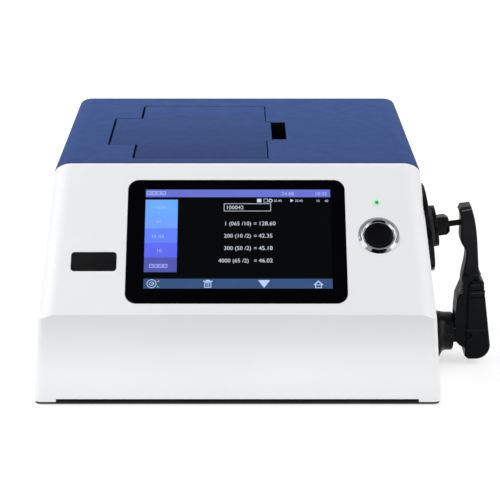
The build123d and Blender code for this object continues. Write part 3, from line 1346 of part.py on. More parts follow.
with BuildPart() as arm_bracket:
    # round flanged boss standing on the wall
    with BuildSketch(arm_plane):
        with BuildLine():
            Polyline((PIVOT_X - 48, PIVOT_Z), (PIVOT_X - 48, PIVOT_Z + FLANGE_R), (FLANGE_END_X, PIVOT_Z + FLANGE_R))
            Spline((FLANGE_END_X, PIVOT_Z + FLANGE_R), (FLANGE_END_X + 2.6, PIVOT_Z + FLANGE_R - 1.5),
                   (FLANGE_END_X + 5, PIVOT_Z + BOSS_R + 2), (FLANGE_END_X + 8.5, PIVOT_Z + BOSS_R))
            Polyline((FLANGE_END_X + 8.5, PIVOT_Z + BOSS_R), (BOSS_END_X - 1, PIVOT_Z + BOSS_R),
                     (BOSS_END_X, PIVOT_Z + BOSS_R - 1), (BOSS_END_X, PIVOT_Z), (PIVOT_X - 48, PIVOT_Z))
        make_face()
    revolve(axis=Axis((BODY_X, ARM_Y, PIVOT_Z), (1, 0, 0)))
    add(outer_form, mode=Mode.SUBTRACT)
    # tongue that carries the pin
    with BuildSketch(arm_plane):
        with Locations(((BOSS_END_X - 5 + PIVOT_X) / 2, PIVOT_Z)):
            Rectangle(PIVOT_X - BOSS_END_X + 5, 2 * TONGUE_R)
        with Locations((PIVOT_X, PIVOT_Z)):
            Circle(TONGUE_R)
    extrude(amount=TONGUE_W / 2, both=True)
    with BuildSketch(arm_plane):
        with Locations((PIVOT_X, PIVOT_Z)):
            Circle(PIVOT_R)
    extrude(amount=TONGUE_W, both=True, mode=Mode.SUBTRACT)
    # blind holes for the screws from inside the wall
    with BuildSketch(right_wall):
        with PolarLocations(BRACKET_SCREW_R, 3, start_angle=90):
            Circle(SCREW_R)
    extrude(amount=6, mode=Mode.SUBTRACT)
arm_bracket.part.label = "arm_bracket"
export_step(arm_bracket.part, "parts/arm_bracket.step")

with BuildPart() as bracket_screws:
    with BuildSketch(right_wall.offset(-WALL)):
        with PolarLocations(BRACKET_SCREW_R, 3, start_angle=90):
            Circle(HEAD_R)
    extrude(amount=-HEAD_H)
    with BuildSketch(right_wall.offset(-WALL)):
        with PolarLocations(BRACKET_SCREW_R, 3, start_angle=90):
            Circle(SCREW_R)
    extrude(amount=WALL + 5.5)
bracket_screws.part.label = "bracket_screws"
export_step(bracket_screws.part, "parts/bracket_screws.step")

with BuildPart() as arm_pin:
    with BuildSketch(arm_plane):
        with Locations((PIVOT_X, PIVOT_Z)):
            Circle(PIVOT_R)
    extrude(amount=HANDLE_W / 2 - 0.5, both=True)
    chamfer(arm_pin.edges().filter_by(GeomType.CIRCLE), 0.4)
arm_pin.part.label = "arm_pin"
export_step(arm_pin.part, "parts/arm_pin.step")

def outer_edges(part, width):
    """Edges round the front and back faces of an arm piece of this width."""
    return part.edges().filter_by(lambda e: abs(abs(e.center().Y) - width / 2) < 0.01)


with BuildPart() as upper_arm:
    with BuildSketch(own_plane):
        add(upper_outline.sketch)
    extrude(amount=UPPER_W / 2, both=True)
    fillet(outer_edges(upper_arm, UPPER_W), ARM_EDGE_R)

with BuildPart() as arm_form:
    # handle, with two bands pressed into its upper end
    with BuildSketch(own_plane):
        add(handle_outline.sketch)
    extrude(amount=HANDLE_W / 2, both=True)
    fillet(outer_edges(arm_form, HANDLE_W), ARM_EDGE_R)
    for band_z in BAND_ZS:
        lean_out = (HANDLE_TOP_Z - band_z) / (HANDLE_TOP_Z - TOE_Z) * (HEEL_OUT - HANDLE_TOP_OUT)
        band_x = PIVOT_X + HANDLE_TOP_OUT + lean_out
        with BuildSketch(Plane.XY.offset(band_z - BAND_W / 2)):
            with Locations((PIVOT_X, 0)):
                Rectangle(60, HANDLE_W + 10)
            with Locations((band_x - BAND_DEPTH - 30, 0)):
                Rectangle(60, HANDLE_W - 2 * BAND_DEPTH, mode=Mode.SUBTRACT)
        extrude(amount=BAND_W, mode=Mode.SUBTRACT)
    # web that leans in to the cheeks
    with BuildSketch(own_plane):
        add(cheek_outline.sketch)
    extrude(amount=CHEEK_W / 2, both=True)
    add(upper_arm.part)
    # slot for the bracket's tongue and the spring
    with BuildSketch(own_plane):
        with BuildLine():
            Polyline((PIVOT_X - 28, -5), (PIVOT_X - 28, SLOT_TOP_Z - 8), (SLOT_END_X - 12, SLOT_TOP_Z),
                     (SLOT_END_X, SLOT_TOP_Z - 8), (SLOT_END_X, PIVOT_Z - TONGUE_R - 3),
                     (PIVOT_X - 4, PIVOT_Z - TONGUE_R - 6), (PIVOT_X - 4, -5), close=True)
        make_face()
    extrude(amount=SLOT_W / 2, both=True, mode=Mode.SUBTRACT)
    with BuildSketch(own_plane):
        with Locations((PIVOT_X, PIVOT_Z)):
            Circle(PIVOT_R + RUN)
    extrude(amount=HANDLE_W, both=True, mode=Mode.SUBTRACT)
    # hole for the presser's stud
    with BuildSketch(Plane(origin=(PORT_X, 0, PORT_Z), x_dir=port.x_dir, z_dir=port.z_dir).offset(HEX_L)):
        Circle(STUD_R)
    extrude(amount=PORT_AXIS_IN_ARM - HEX_L, mode=Mode.SUBTRACT)

with BuildPart() as clamp_arm:
    with Locations((BODY_X, ARM_Y, 0)):
        add(arm_form.part)
clamp_arm.part.label = "clamp_arm"
export_step(clamp_arm.part, "parts/clamp_arm.step")

# torsion spring: one coil round the pin on each side of the tongue
COIL_R = PIVOT_R + SPRING_WIRE / 2 + 0.4
COIL_PITCH = SPRING_WIRE + 0.1
COIL_TURNS = 1.75
COIL_Y = ARM_Y + TONGUE_W / 2 + SPRING_WIRE / 2 + 0.1
BOSS_LEG_L = PIVOT_X - BOSS_END_X - 0.1
ARM_LEG_L = 15.0
with BuildPart() as arm_spring:
    with BuildLine():
        coil = Helix(pitch=COIL_PITCH, height=COIL_PITCH * COIL_TURNS, radius=COIL_R,
                     center=(BODY_X + PIVOT_X, COIL_Y, PIVOT_Z), direction=(0, 1, 0))
    with BuildSketch(Plane(origin=coil @ 0, z_dir=coil % 0)):
        Circle(SPRING_WIRE / 2)
    sweep(path=coil)
    # legs that lean on the boss and on the arm
    with BuildSketch(Plane(origin=coil @ 0, z_dir=(1, 0, 0))):
        Circle(SPRING_WIRE / 2)
    extrude(amount=-BOSS_LEG_L)
    with BuildSketch(Plane(origin=coil @ 1, z_dir=(0, 0, 1))):
        Circle(SPRING_WIRE / 2)
    extrude(amount=ARM_LEG_L)
    mirror(about=arm_plane)
arm_spring.part.label = "arm_spring"
export_step(arm_spring.part, "parts/arm_spring.step")

# ---------------------------------------------------------------- presser that closes the port
BALL_R = 4.5
FACE_AT = PAD_REST
DISC_AT = FACE_AT + PAD_FACE_T
SOCKET_AT = DISC_AT + PAD_T
BALL_AT = SOCKET_AT + HEX_L / 2 - 0.4

with BuildPart() as pad_facing:
    with BuildSketch(port.offset(FACE_AT)):
        Circle(PAD_R)
    extrude(amount=PAD_FACE_T)
pad_facing.part.label = "pad_facing"
export_step(pad_facing.part, "parts/pad_facing.step")

with BuildPart() as presser_pad:
    with BuildSketch(port.offset(DISC_AT)):
        Circle(PAD_R)
    extrude(amount=PAD_T)
    fillet(presser_pad.edges().filter_by(GeomType.CIRCLE), 0.8)
presser_pad.part.label = "presser_pad"
export_step(presser_pad.part, "parts/presser_pad.step")

with BuildPart() as presser_socket:
    with BuildSketch(port.offset(SOCKET_AT)):
        RegularPolygon(HEX_AF / 2, 6, major_radius=False)
    extrude(amount=HEX_L - 3)
    with BuildSketch(port.offset(SOCKET_AT + HEX_L - 3)):
        RegularPolygon(HEX_AF / 2, 6, major_radius=False)
    extrude(amount=3, taper=35)
    with Locations(port.offset(BALL_AT).location):
        Sphere(BALL_R + RUN, mode=Mode.SUBTRACT)
    with BuildSketch(port.offset(BALL_AT)):
        Circle(STUD_R + 0.8)
    extrude(amount=HEX_L, mode=Mode.SUBTRACT)
presser_socket.part.label = "presser_socket"
export_step(presser_socket.part, "parts/presser_socket.step")

with BuildPart() as presser_stud:
    with Locations(port.offset(BALL_AT).location):
        Sphere(BALL_R)
    with BuildSketch(port.offset(BALL_AT)):
        Circle(STUD_R)
    extrude(amount=PORT_AXIS_IN_ARM - BALL_AT)
presser_stud.part.label = "presser_stud"
export_step(presser_stud.part, "parts/presser_stud.step")
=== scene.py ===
import json
import math

import bmesh
import bpy
from mathutils import Matrix, Vector


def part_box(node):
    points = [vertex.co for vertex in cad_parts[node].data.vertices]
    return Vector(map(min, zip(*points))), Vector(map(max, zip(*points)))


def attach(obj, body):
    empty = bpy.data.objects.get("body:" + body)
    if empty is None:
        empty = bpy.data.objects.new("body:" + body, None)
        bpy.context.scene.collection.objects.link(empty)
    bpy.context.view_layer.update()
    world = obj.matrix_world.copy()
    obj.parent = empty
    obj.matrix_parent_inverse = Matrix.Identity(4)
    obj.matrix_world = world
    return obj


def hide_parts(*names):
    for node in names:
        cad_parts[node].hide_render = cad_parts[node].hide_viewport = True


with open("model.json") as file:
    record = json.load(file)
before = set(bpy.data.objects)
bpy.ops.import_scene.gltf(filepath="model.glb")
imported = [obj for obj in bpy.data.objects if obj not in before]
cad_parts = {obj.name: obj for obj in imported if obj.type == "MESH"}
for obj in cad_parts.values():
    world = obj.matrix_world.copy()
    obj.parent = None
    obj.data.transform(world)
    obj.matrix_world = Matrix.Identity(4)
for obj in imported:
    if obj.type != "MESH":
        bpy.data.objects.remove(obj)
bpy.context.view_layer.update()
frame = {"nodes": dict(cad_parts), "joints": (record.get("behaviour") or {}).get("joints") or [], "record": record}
nodes = frame["nodes"]

MM = 0.001

# ---------------------------------------------------------------- places, in millimetres
housing_low, housing_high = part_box("housing")
arm_hinge = next(joint for joint in frame["joints"] if joint["name"] == "arm_hinge")
BODY_X = (housing_low[0] + housing_high[0]) / 2 / MM    # casing's mid-plane
FRONT_Y = housing_low[1] / MM
LEDGE_Z = 77.8                                          # foot of the sloped panel
LEAN = math.radians(45.2)                               # panel's lean from upright
GLASS_FACE = 0.2                                        # glass stands this far out of the panel
# on the panel: across from the mid-plane, and up the slope from the ledge
LIT_X, LIT_U = 0.5, 69.2                                # middle of the screen's lit area
LIT_W, LIT_H = 152.4, 91.44
BUTTON_X, BUTTON_U = 115.5, 72.0
LAMP_X, LAMP_U = 115.0, 102.9
# the clamp arm and the boss of its bracket
ARM_Y = arm_hinge["pos_m"][1] / MM
PIVOT_Z = arm_hinge["pos_m"][2] / MM
FOOT_HALF, WEB_HALF, NECK_HALF = 12.5, 10.5, 9.0        # half the arm's depth, from its foot up
BOSS_R = 16.5


def plane(across, up, origin):
    """Matrix of a plane through origin, from its own millimetres to metres."""
    matrix = Matrix((across, up, across.cross(up))).transposed().to_4x4()
    matrix.translation = origin * MM
    return matrix @ Matrix.Scale(MM, 4)


def on_panel(x, u, out=0.0):
    """Plane on the sloped panel: x across, u up the slope, out from its face."""
    sine, cosine = math.sin(LEAN), math.cos(LEAN)
    origin = Vector((BODY_X + x, FRONT_Y + u * sine - out * cosine, LEDGE_Z + u * cosine + out * sine))
    return plane(Vector((1, 0, 0)), Vector((0, sine, cosine)), origin)


def facing_back(x, y, z, degrees):
    """Plane that faces the back, turned up by that many degrees."""
    tilt = math.radians(degrees)
    return plane(Vector((-1, 0, 0)), Vector((0, -math.sin(tilt), math.cos(tilt))), Vector((x, y, z)))


def from_middle(x, y, z):
    """Place in metres, with x from the casing's mid-plane."""
    return Vector((BODY_X + x, y, z)) * MM


# ---------------------------------------------------------------- materials
def add_node(tree, kind, inputs=None, **settings):
    """New shader node of that kind, with its settings and the values of its inputs."""
    node = tree.nodes.new(kind)
    for name, value in settings.items():
        setattr(node, name, value)
    for name, value in (inputs or {}).items():
        node.inputs[name].default_value = value
    return node


def scaled(color, share):
    return tuple(min(1.0, value * share) for value in color)


class Finish:
    """A material's node tree, with the few chains that all of them use."""

    MIX_LOW, MIX_HIGH, MIX_RESULT = 6, 7, 2             # colour sockets of the Mix node
    TINT_NOISE, SHEEN_NOISE = (4.0, 0.55), (3.0, 0.6)   # detail and roughness of the noise
    TINT_SPAN, SHEEN_SPAN = (0.35, 0.65), (0.3, 0.7)    # noise at the low end and at the high end
    GRAIN_ROUGH = 0.5

    def __init__(self, slot, color, rough, metal=0.0, spec=0.5):
        self.slot = slot
        self.material = bpy.data.materials.new("finish_" + slot)
        self.material.use_nodes = True
        self.material.diffuse_color = (*color, 1)
        self.tree = self.material.node_tree
        self.shader = self.tree.nodes["Principled BSDF"]
        for name, value in (("Base Color", (*color, 1)), ("Roughness", rough), ("Metallic", metal),
                            ("Specular IOR Level", spec)):
            self.shader.inputs[name].default_value = value
        self.color = None
        self.bump = None

    def join(self, output, inlet):
        self.tree.links.new(output, inlet)

    def coordinates(self, stretch=(1, 1, 1)):
        """The object's own coordinates, stretched."""
        mapping = add_node(self.tree, "ShaderNodeMapping", {"Scale": stretch})
        self.join(add_node(self.tree, "ShaderNodeTexCoord").outputs["Object"], mapping.inputs["Vector"])
        return mapping.outputs["Vector"]

    def along(self, axis):
        """The object's own X, Y or Z."""
        split = add_node(self.tree, "ShaderNodeSeparateXYZ")
        self.join(self.coordinates(), split.inputs["Vector"])
        return split.outputs[axis]

    def noise(self, scale, detail, rough, stretch=(1, 1, 1)):
        inputs = {"Scale": scale, "Detail": detail, "Roughness": rough}
        noise = add_node(self.tree, "ShaderNodeTexNoise", inputs)
        self.join(self.coordinates(stretch), noise.inputs["Vector"])
        return noise.outputs["Fac"]

    def numbers(self, source, span, low, high):
        """Numbers from low to high as source goes over its span."""
        inputs = {"From Min": span[0], "From Max": span[1], "To Min": low, "To Max": high}
        spread = add_node(self.tree, "ShaderNodeMapRange", inputs)
        self.join(source, spread.inputs["Value"])
        return spread.outputs["Result"]

    def colors(self, source, span, low, high):
        """Colours from low to high as source goes over its span."""
        ramp = add_node(self.tree, "ShaderNodeValToRGB")
        for element, position, color in zip(ramp.color_ramp.elements, span, (low, high)):
            element.position = position
            element.color = (*color, 1)
        self.join(source, ramp.inputs["Fac"])
        return ramp.outputs["Color"]

    def mixed(self, share, low, high):
        """Colour from low to high, each a colour or an output, as share goes from 0 to 1."""
        mix = add_node(self.tree, "ShaderNodeMix", data_type="RGBA")
        self.join(share, mix.inputs["Factor"])
        for source, inlet in ((low, mix.inputs[self.MIX_LOW]), (high, mix.inputs[self.MIX_HIGH])):
            if isinstance(source, tuple):
                inlet.default_value = (*source, 1)
            else:
                self.join(source, inlet)
        return mix.outputs[self.MIX_RESULT]

    def paint(self, color):
        self.color = color
        self.join(color, self.shader.inputs["Base Color"])
        return self

    def tint(self, scale, low, high, span=TINT_SPAN):
        """Base colour that wanders between low and high."""
        return self.paint(self.colors(self.noise(scale, *self.TINT_NOISE), span, low, high))

    def sheen(self, scale, low, high, stretch=(1, 1, 1)):
        """Roughness that wanders between low and high."""
        rough = self.numbers(self.noise(scale, *self.SHEEN_NOISE, stretch), self.SHEEN_SPAN, low, high)
        self.join(rough, self.shader.inputs["Roughness"])
        return self

    def grain(self, scale, depth_mm, strength, detail=2.0, stretch=(1, 1, 1)):
        """Fine bumps, on top of those already there."""
        bump = add_node(self.tree, "ShaderNodeBump", {"Strength": strength, "Distance": depth_mm * MM})
        self.join(self.noise(scale, detail, self.GRAIN_ROUGH, stretch), bump.inputs["Height"])
        if self.bump:
            self.join(self.bump.outputs["Normal"], bump.inputs["Normal"])
        self.join(bump.outputs["Normal"], self.shader.inputs["Normal"])
        self.bump = bump
        return self

    def mottled_upward(self, scale, low, high, z_low, z_high):
        """Mottled colour that goes from low to high as the object's Z goes from z_low to z_high."""
        height = self.numbers(self.along("Z"), (z_low * MM, z_high * MM), 0.0, 1.0)
        noise = self.noise(scale, *self.TINT_NOISE)
        mottled = [self.colors(noise, self.TINT_SPAN, scaled(color, 0.8), scaled(color, 1.25))
                   for color in (low, high)]
        return self.paint(self.mixed(height, *mottled))

    def painted_shade_along_y(self, shade, bands):
        """Painted shade: turns the colour towards shade along Y, in bands of (deep end, far end, colour left at
        the deep end).
        """
        place = self.along("Y")
        for deep, far, kept in bands:
            share = self.numbers(place, (deep * MM, far * MM), kept, 1.0)
            self.paint(self.mixed(share, shade, self.color))
        return self

    def shining(self, color, strength):
        """Light of its own."""
        self.shader.inputs["Emission Color"].default_value = (*color, 1)
        self.shader.inputs["Emission Strength"].default_value = strength
        return self


# casing, cover and base
WHITE = (0.86, 0.865, 0.875)
BLUE = (0.033, 0.074, 0.233)
# painted shade: the colour that the cover and the lid darken towards
PAINTED_SHADE_BLUE = (0.006, 0.012, 0.045)
BASE_BLACK = (0.012, 0.013, 0.015)
COVER_FRONT, COVER_BACK = -76.0, 150.0
LID_FRONT, LID_BACK = -60.0, 136.0


# blue, with painted shade along Y in the given bands
def cover_blue(slot, bands):
    return (Finish(slot, BLUE, 0.6, spec=0.04)
            .tint(40, scaled(BLUE, 0.97), scaled(BLUE, 1.03))
            .sheen(90, 0.55, 0.65)
            .grain(1900, 0.05, 0.45, 3.0)
            .grain(500, 0.02, 0.25)
            .painted_shade_along_y(PAINTED_SHADE_BLUE, bands))


white = (Finish("casing_white", WHITE, 0.42)
         .tint(9, scaled(WHITE, 0.985), scaled(WHITE, 1.01))
         .sheen(60, 0.38, 0.47)
         .grain(1400, 0.02, 0.25)
         .grain(220, 0.012, 0.15))
# painted shade: the cover darkens towards its front
blue = cover_blue("cover_blue", [(COVER_FRONT, COVER_BACK, 0.8)])
# painted shade: the lid darkens towards its front, and painted shadow darkens it most along its front and back
# edges, beside the gap round it
lid_blue = cover_blue("cover_blue_lid", [(LID_FRONT, LID_BACK, 0.48),
                                         (LID_FRONT - 0.35, LID_FRONT + 1.1, 0.25),
                                         (LID_BACK + 0.25, LID_BACK - 1.4, 0.25)])
base = (Finish("base_black", BASE_BLACK, 0.45, spec=0.15)
        .tint(30, scaled(BASE_BLACK, 0.8), scaled(BASE_BLACK, 1.3))
        .grain(1500, 0.03, 0.4))
rubber = (Finish("foot_rubber", (0.015, 0.015, 0.015), 0.8)
          .tint(60, (0.01, 0.01, 0.01), (0.022, 0.022, 0.022))
          .grain(900, 0.05, 0.6))

# clamp arm, measuring port and other black plastics
ARM_LOW, ARM_HIGH = (0.004, 0.0056, 0.0066), (0.018, 0.0165, 0.021)
plastic = (Finish("black_plastic", (0.005, 0.005, 0.006), 0.28, spec=0.09)
           .tint(40, (0.004, 0.004, 0.005), (0.007, 0.007, 0.008))
           .sheen(120, 0.23, 0.34)
           .grain(1600, 0.015, 0.3))
# the arm is darker towards its foot and lighter, a little purple, towards its top
arm = (Finish("arm_plastic", ARM_LOW, 0.36, spec=0.05)
       .sheen(70, 0.3, 0.43)
       .mottled_upward(26, ARM_LOW, ARM_HIGH, 78, 100)
       .grain(1300, 0.03, 0.35))
# raised bands, coloured a little lighter than the arm as painted highlight along them
band_highlight = (Finish("arm_band_highlight", (0.022, 0.021, 0.026), 0.3, spec=0.1)
       .tint(60, (0.018, 0.017, 0.021), (0.028, 0.027, 0.033)))
# painted highlight: pale grey that stands for the light caught by the arm's raised lines
painted_highlight_lip = (Finish("arm_painted_highlight_lip", (0.13, 0.125, 0.14), 0.35, spec=0.2)
            .tint(80, (0.11, 0.105, 0.12), (0.16, 0.155, 0.17)))
port = (Finish("port_grey", (0.004, 0.004, 0.005), 0.22, spec=0.07)
        .tint(40, (0.003, 0.003, 0.004), (0.006, 0.006, 0.007))
        .sheen(120, 0.18, 0.27)
        .grain(1300, 0.01, 0.2))
foam = (Finish("seal_foam", (0.018, 0.018, 0.019), 0.9)
        .tint(500, (0.012, 0.012, 0.013), (0.026, 0.026, 0.027))
        .grain(1200, 0.12, 0.8))
# painted shade: a black darker than the black plastics, which makes the finger hole, its wall and the arm's pin
# head read as shade
painted_shadow_black = (Finish("painted_shadow_black", (0.003, 0.003, 0.0035), 0.6, spec=0.04)
             .tint(90, (0.002, 0.002, 0.0025), (0.005, 0.005, 0.0055))
             .grain(1200, 0.03, 0.4))

# front panel
glass = (Finish("panel_glass", (0.0015, 0.0015, 0.002), 0.09, spec=0.04)
         .tint(12, (0.0012, 0.0012, 0.0016), (0.002, 0.002, 0.0026))
         .sheen(35, 0.07, 0.12))
display = (Finish("display", (0.003, 0.003, 0.005), 0.3, spec=0.2)
           .tint(40, (0.002, 0.002, 0.004), (0.004, 0.004, 0.007)))
chrome = (Finish("chrome_ring", (0.27, 0.275, 0.3), 0.1, metal=1.0)
          .tint(20, (0.25, 0.255, 0.28), (0.29, 0.295, 0.32))
          .sheen(160, 0.07, 0.13))
cap = (Finish("button_black", (0.006, 0.006, 0.007), 0.14, spec=0.1)
       .tint(50, (0.005, 0.005, 0.006), (0.008, 0.008, 0.009))
       .sheen(80, 0.1, 0.18))
green = (Finish("lamp_green", (0.03, 0.32, 0.1), 0.3, spec=0.2)
         .tint(900, (0.03, 0.3, 0.09), (0.04, 0.36, 0.12))
         .shining((0.04, 0.4, 0.12), 0.15))
# painted glow: pale green that stands for the lamp's light round it
painted_glow = (Finish("lamp_painted_glow", (0.62, 0.93, 0.66), 0.5, spec=0.2)
        .tint(400, (0.56, 0.9, 0.6), (0.68, 0.95, 0.72)))
badge = (Finish("badge", (0.01, 0.01, 0.011), 0.24, spec=0.08)
         .tint(30, (0.008, 0.008, 0.009), (0.013, 0.013, 0.014))
         .sheen(90, 0.2, 0.3)
         .grain(1200, 0.01, 0.2))

# linings, metals, circuit board and window
ceramic = (Finish("aperture_white", (0.85, 0.85, 0.83), 0.7)
           .tint(60, (0.82, 0.82, 0.8), (0.88, 0.88, 0.86))
           .grain(1500, 0.03, 0.3))
lining = (Finish("sphere_white", (0.88, 0.88, 0.86), 0.85)
          .tint(50, (0.85, 0.85, 0.83), (0.9, 0.9, 0.88))
          .grain(1500, 0.04, 0.4))
steel = (Finish("steel", (0.52, 0.53, 0.55), 0.3, metal=1.0)
         .tint(60, (0.46, 0.47, 0.49), (0.57, 0.58, 0.6))
         .sheen(260, 0.22, 0.38, stretch=(1, 8, 1))
         .grain(900, 0.01, 0.3, stretch=(1, 12, 1)))
screws = (Finish("screws", (0.45, 0.45, 0.47), 0.35, metal=1.0)
          .tint(200, (0.38, 0.38, 0.4), (0.5, 0.5, 0.52))
          .sheen(400, 0.28, 0.42))
sheet = (Finish("sheet", (0.62, 0.63, 0.65), 0.38, metal=1.0)
         .tint(50, (0.56, 0.57, 0.59), (0.66, 0.67, 0.69))
         .sheen(300, 0.3, 0.46, stretch=(1, 6, 1)))
black_metal = (Finish("black_metal", (0.013, 0.013, 0.015), 0.45, spec=0.2)
               .tint(40, (0.01, 0.01, 0.011), (0.018, 0.018, 0.02))
               .sheen(120, 0.33, 0.46)
               .grain(1700, 0.03, 0.4))
board = (Finish("circuit", (0.012, 0.12, 0.05), 0.4)
         .tint(300, (0.009, 0.09, 0.036), (0.016, 0.15, 0.065), span=(0.45, 0.55))
         .grain(700, 0.03, 0.5))
window = Finish("window", (0.9, 0.95, 0.95), 0.05).sheen(30, 0.03, 0.07)
window.shader.inputs["Transmission Weight"].default_value = 1.0

BY_SLOT = {finish.slot: finish for finish in (
    white, blue, base, rubber, plastic, arm, glass, display, chrome, cap, green, badge, port, ceramic, lining,
    steel, screws, sheet, black_metal, board, window, foam)}
# the finger cup and the arm's pin take the painted-shade black
BY_NODE = {"lid": lid_blue, "finger_cup": painted_shadow_black, "arm_pin": painted_shadow_black, "presser_stud": plastic}
for row in frame["record"]["subparts"]:
    finish = BY_NODE.get(row["node"], BY_SLOT[row["material_slot"]])
    obj = nodes[row["node"]]
    if not obj.material_slots:
        obj.data.materials.append(finish.material)
    for material_slot in obj.material_slots:
        material_slot.material = finish.material

# ---------------------------------------------------------------- building helpers
SHARP = 35                      # degrees over which a smooth surface keeps an edge


def add_piece(name, verts, faces, finish, body, slot, matrix=None):
    mesh = bpy.data.meshes.new(name)
    mesh.from_pydata(verts, [], faces)
    if matrix is not None:
        mesh.transform(matrix)
    mesh.validate()
    mesh.materials.append(finish.material)
    obj = bpy.data.objects.new(name, mesh)
    bpy.context.scene.collection.objects.link(obj)
    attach(obj, body)
    return obj


def mend(obj, sharp=None, weld=0.0):
    """Joins points within weld metres, turns faces outward, and shades smooth up to sharp degrees."""
    form = bmesh.new()
    form.from_mesh(obj.data)
    if weld:
        bmesh.ops.remove_doubles(form, verts=form.verts, dist=weld)
    bmesh.ops.recalc_face_normals(form, faces=form.faces)
    form.to_mesh(obj.data)
    form.free()
    if sharp:
        for face in obj.data.polygons:
            face.use_smooth = True
        obj.data.set_sharp_from_angle(angle=math.radians(sharp))


def belt(first, second):
    """Faces between two closed rows of points, each given by the points' numbers."""
    count = len(first)
    return [(first[i], first[(i + 1) % count], second[(i + 1) % count], second[i]) for i in range(count)]


def through(sections, closed=False):
    """Points and faces of the solid through these sections, which closes into a ring or has two ends."""
    count = len(sections[0])
    rows = [range(i * count, (i + 1) * count) for i in range(len(sections))]
    following = rows[1:] + rows[:1] if closed else rows[1:]
    faces = [face for pair in zip(rows, following) for face in belt(*pair)]
    if not closed:
        faces += [tuple(rows[0]), tuple(rows[-1])]
    return [point for section in sections for point in section], faces


def lathe(name, profile, finish, slot, matrix, turns):
    """Ring on the casing, from a closed outline of (radius, height) in millimetres."""
    angles = [2 * math.pi * i / turns for i in range(turns)]
    sections = [[(radius * math.cos(angle), radius * math.sin(angle), height) for radius, height in profile]
                for angle in angles]
    obj = add_piece(name, *through(sections, closed=True), finish, "casing", slot, matrix)
    mend(obj, SHARP)
    return obj


class Raised:
    """Closed flat shapes of one thickness, drawn in millimetres."""

    def __init__(self, thick):
        self.thick = thick
        self.verts, self.faces = [], []

    def add_rows(self, *outlines):
        """Adds the outlines' points, low and then high, and gives the numbers of each row."""
        rows = []
        for z in (0.0, self.thick):
            for outline in outlines:
                rows.append(range(len(self.verts), len(self.verts) + len(outline)))
                self.verts += [(x, y, z) for x, y in outline]
        return rows

    def polygon(self, outline):
        low, high = self.add_rows(outline)
        self.faces += [tuple(high), tuple(reversed(low)), *belt(low, high)]

    def band(self, outer, inner):
        """Band between two outlines with the same number of points."""
        low_outer, low_inner, high_outer, high_inner = self.add_rows(outer, inner)
        self.faces += [*belt(low_outer, high_outer), *belt(high_outer, high_inner),
                       *belt(high_inner, low_inner), *belt(low_inner, low_outer)]

    def rect(self, x0, y0, x1, y1):
        self.polygon([(x0, y0), (x1, y0), (x1, y1), (x0, y1)])

    def bar(self, x, y, width, height):
        """Rectangle round its middle."""
        self.rect(x - width / 2, y - height / 2, x + width / 2, y + height / 2)

    def outline(self, x0, y0, x1, y1, width):
        self.band([(x0, y0), (x1, y0), (x1, y1), (x0, y1)],
                  [(x0 + width, y0 + width), (x1 - width, y0 + width),
                   (x1 - width, y1 - width), (x0 + width, y1 - width)])

    def ring(self, x, y, radius, width, sides=28):
        angles = [2 * math.pi * i / sides for i in range(sides)]
        self.band(*([(x + r * math.cos(angle), y + r * math.sin(angle)) for angle in angles]
                    for r in (radius, radius - width)))

    def blocks(self, x, y, size, count):
        """Row of squares with a dash in each, which stands for a caption."""
        stroke, dash, step = size * 0.14, size * 0.44, size * 1.12
        for k in range(count):
            left = x + k * step
            self.outline(left, y, left + size, y + size, stroke)
            self.bar(left + size / 2, y + size / 2, dash, stroke)

    def text(self, words, x, y, size):
        """Words on a line that starts at x, y."""
        curve = bpy.data.curves.new("words", "FONT")
        curve.body = words
        curve.size = size
        curve.resolution_u = 3
        curve.extrude = self.thick / 2
        holder = bpy.data.objects.new("words", curve)
        bpy.context.scene.collection.objects.link(holder)
        bpy.context.view_layer.update()
        mesh = bpy.data.meshes.new_from_object(holder.evaluated_get(bpy.context.evaluated_depsgraph_get()))
        bpy.data.objects.remove(holder)
        first = len(self.verts)
        self.verts += [(p.co.x + x, p.co.y + y, p.co.z + self.thick / 2) for p in mesh.vertices]
        self.faces += [tuple(first + i for i in face.vertices) for face in mesh.polygons]
        bpy.data.meshes.remove(mesh)


class Lit(Raised):
    """Shapes that shine on the screen, drawn from the lit area's lower left corner."""

    NOISE, SPAN = (60, 1.0, 0.5), (0.3, 0.7)

    def __init__(self, name, color, level, thick, strength=0.85):
        super().__init__(thick)
        self.name, self.color, self.level, self.strength = name, color, level, strength

    def build(self):
        finish = Finish("lit_" + self.name, scaled(self.color, 0.2), 0.35, spec=0.02)
        dim, bright = scaled(self.color, 0.94), scaled(self.color, 1.04)
        glow = finish.colors(finish.noise(*self.NOISE), self.SPAN, dim, bright)
        finish.join(glow, finish.shader.inputs["Emission Color"])
        finish.shader.inputs["Emission Strength"].default_value = self.strength
        corner = on_panel(LIT_X - LIT_W / 2, LIT_U - LIT_H / 2, GLASS_FACE + self.level)
        add_piece("screen_" + self.name, self.verts, self.faces, finish, "casing", "display", corner)


# ---------------------------------------------------------------- what the screen shows, in millimetres
FIELD = {"level": 0.02, "thick": 0.01}                  # three layers above the glass
BARS = {"level": 0.04, "thick": 0.03}
MARKS = {"level": 0.08, "thick": 0.02}
TOP_BAR_Y, BOTTOM_BAR_Y = 84.3, 8.8
TITLE_Y, TITLE_SIZE = 86.0, 4.7
TAB_W, TABS_LOW, TABS_HIGH = 26.6, 14.8, 81.9
TAB_COLORS = ((0.15, 0.40, 1.0), (0.165, 0.37, 1.0), (0.13, 0.23, 0.92), (0.115, 0.15, 0.88),
              (0.09, 0.1, 0.44))
STATUS_LOW, STATUS_HIGH = 79.4, 82.7                    # row of small signs under the top bar
STATUS_Y, STATUS_SIZE = 79.9, 2.9
READINGS = (("1 (065 /10)", "128.60", 64.8), ("200 (10 /2)", "42.35", 64.6), ("300 (50 /2)", "45.18", 64.6),
            ("4000 (65 /2)", "46.02", 60.2))            # label, value, and where the label starts
READINGS_Y, READINGS_STEP = 57.8, 11.4                  # the first line, and down to the next one
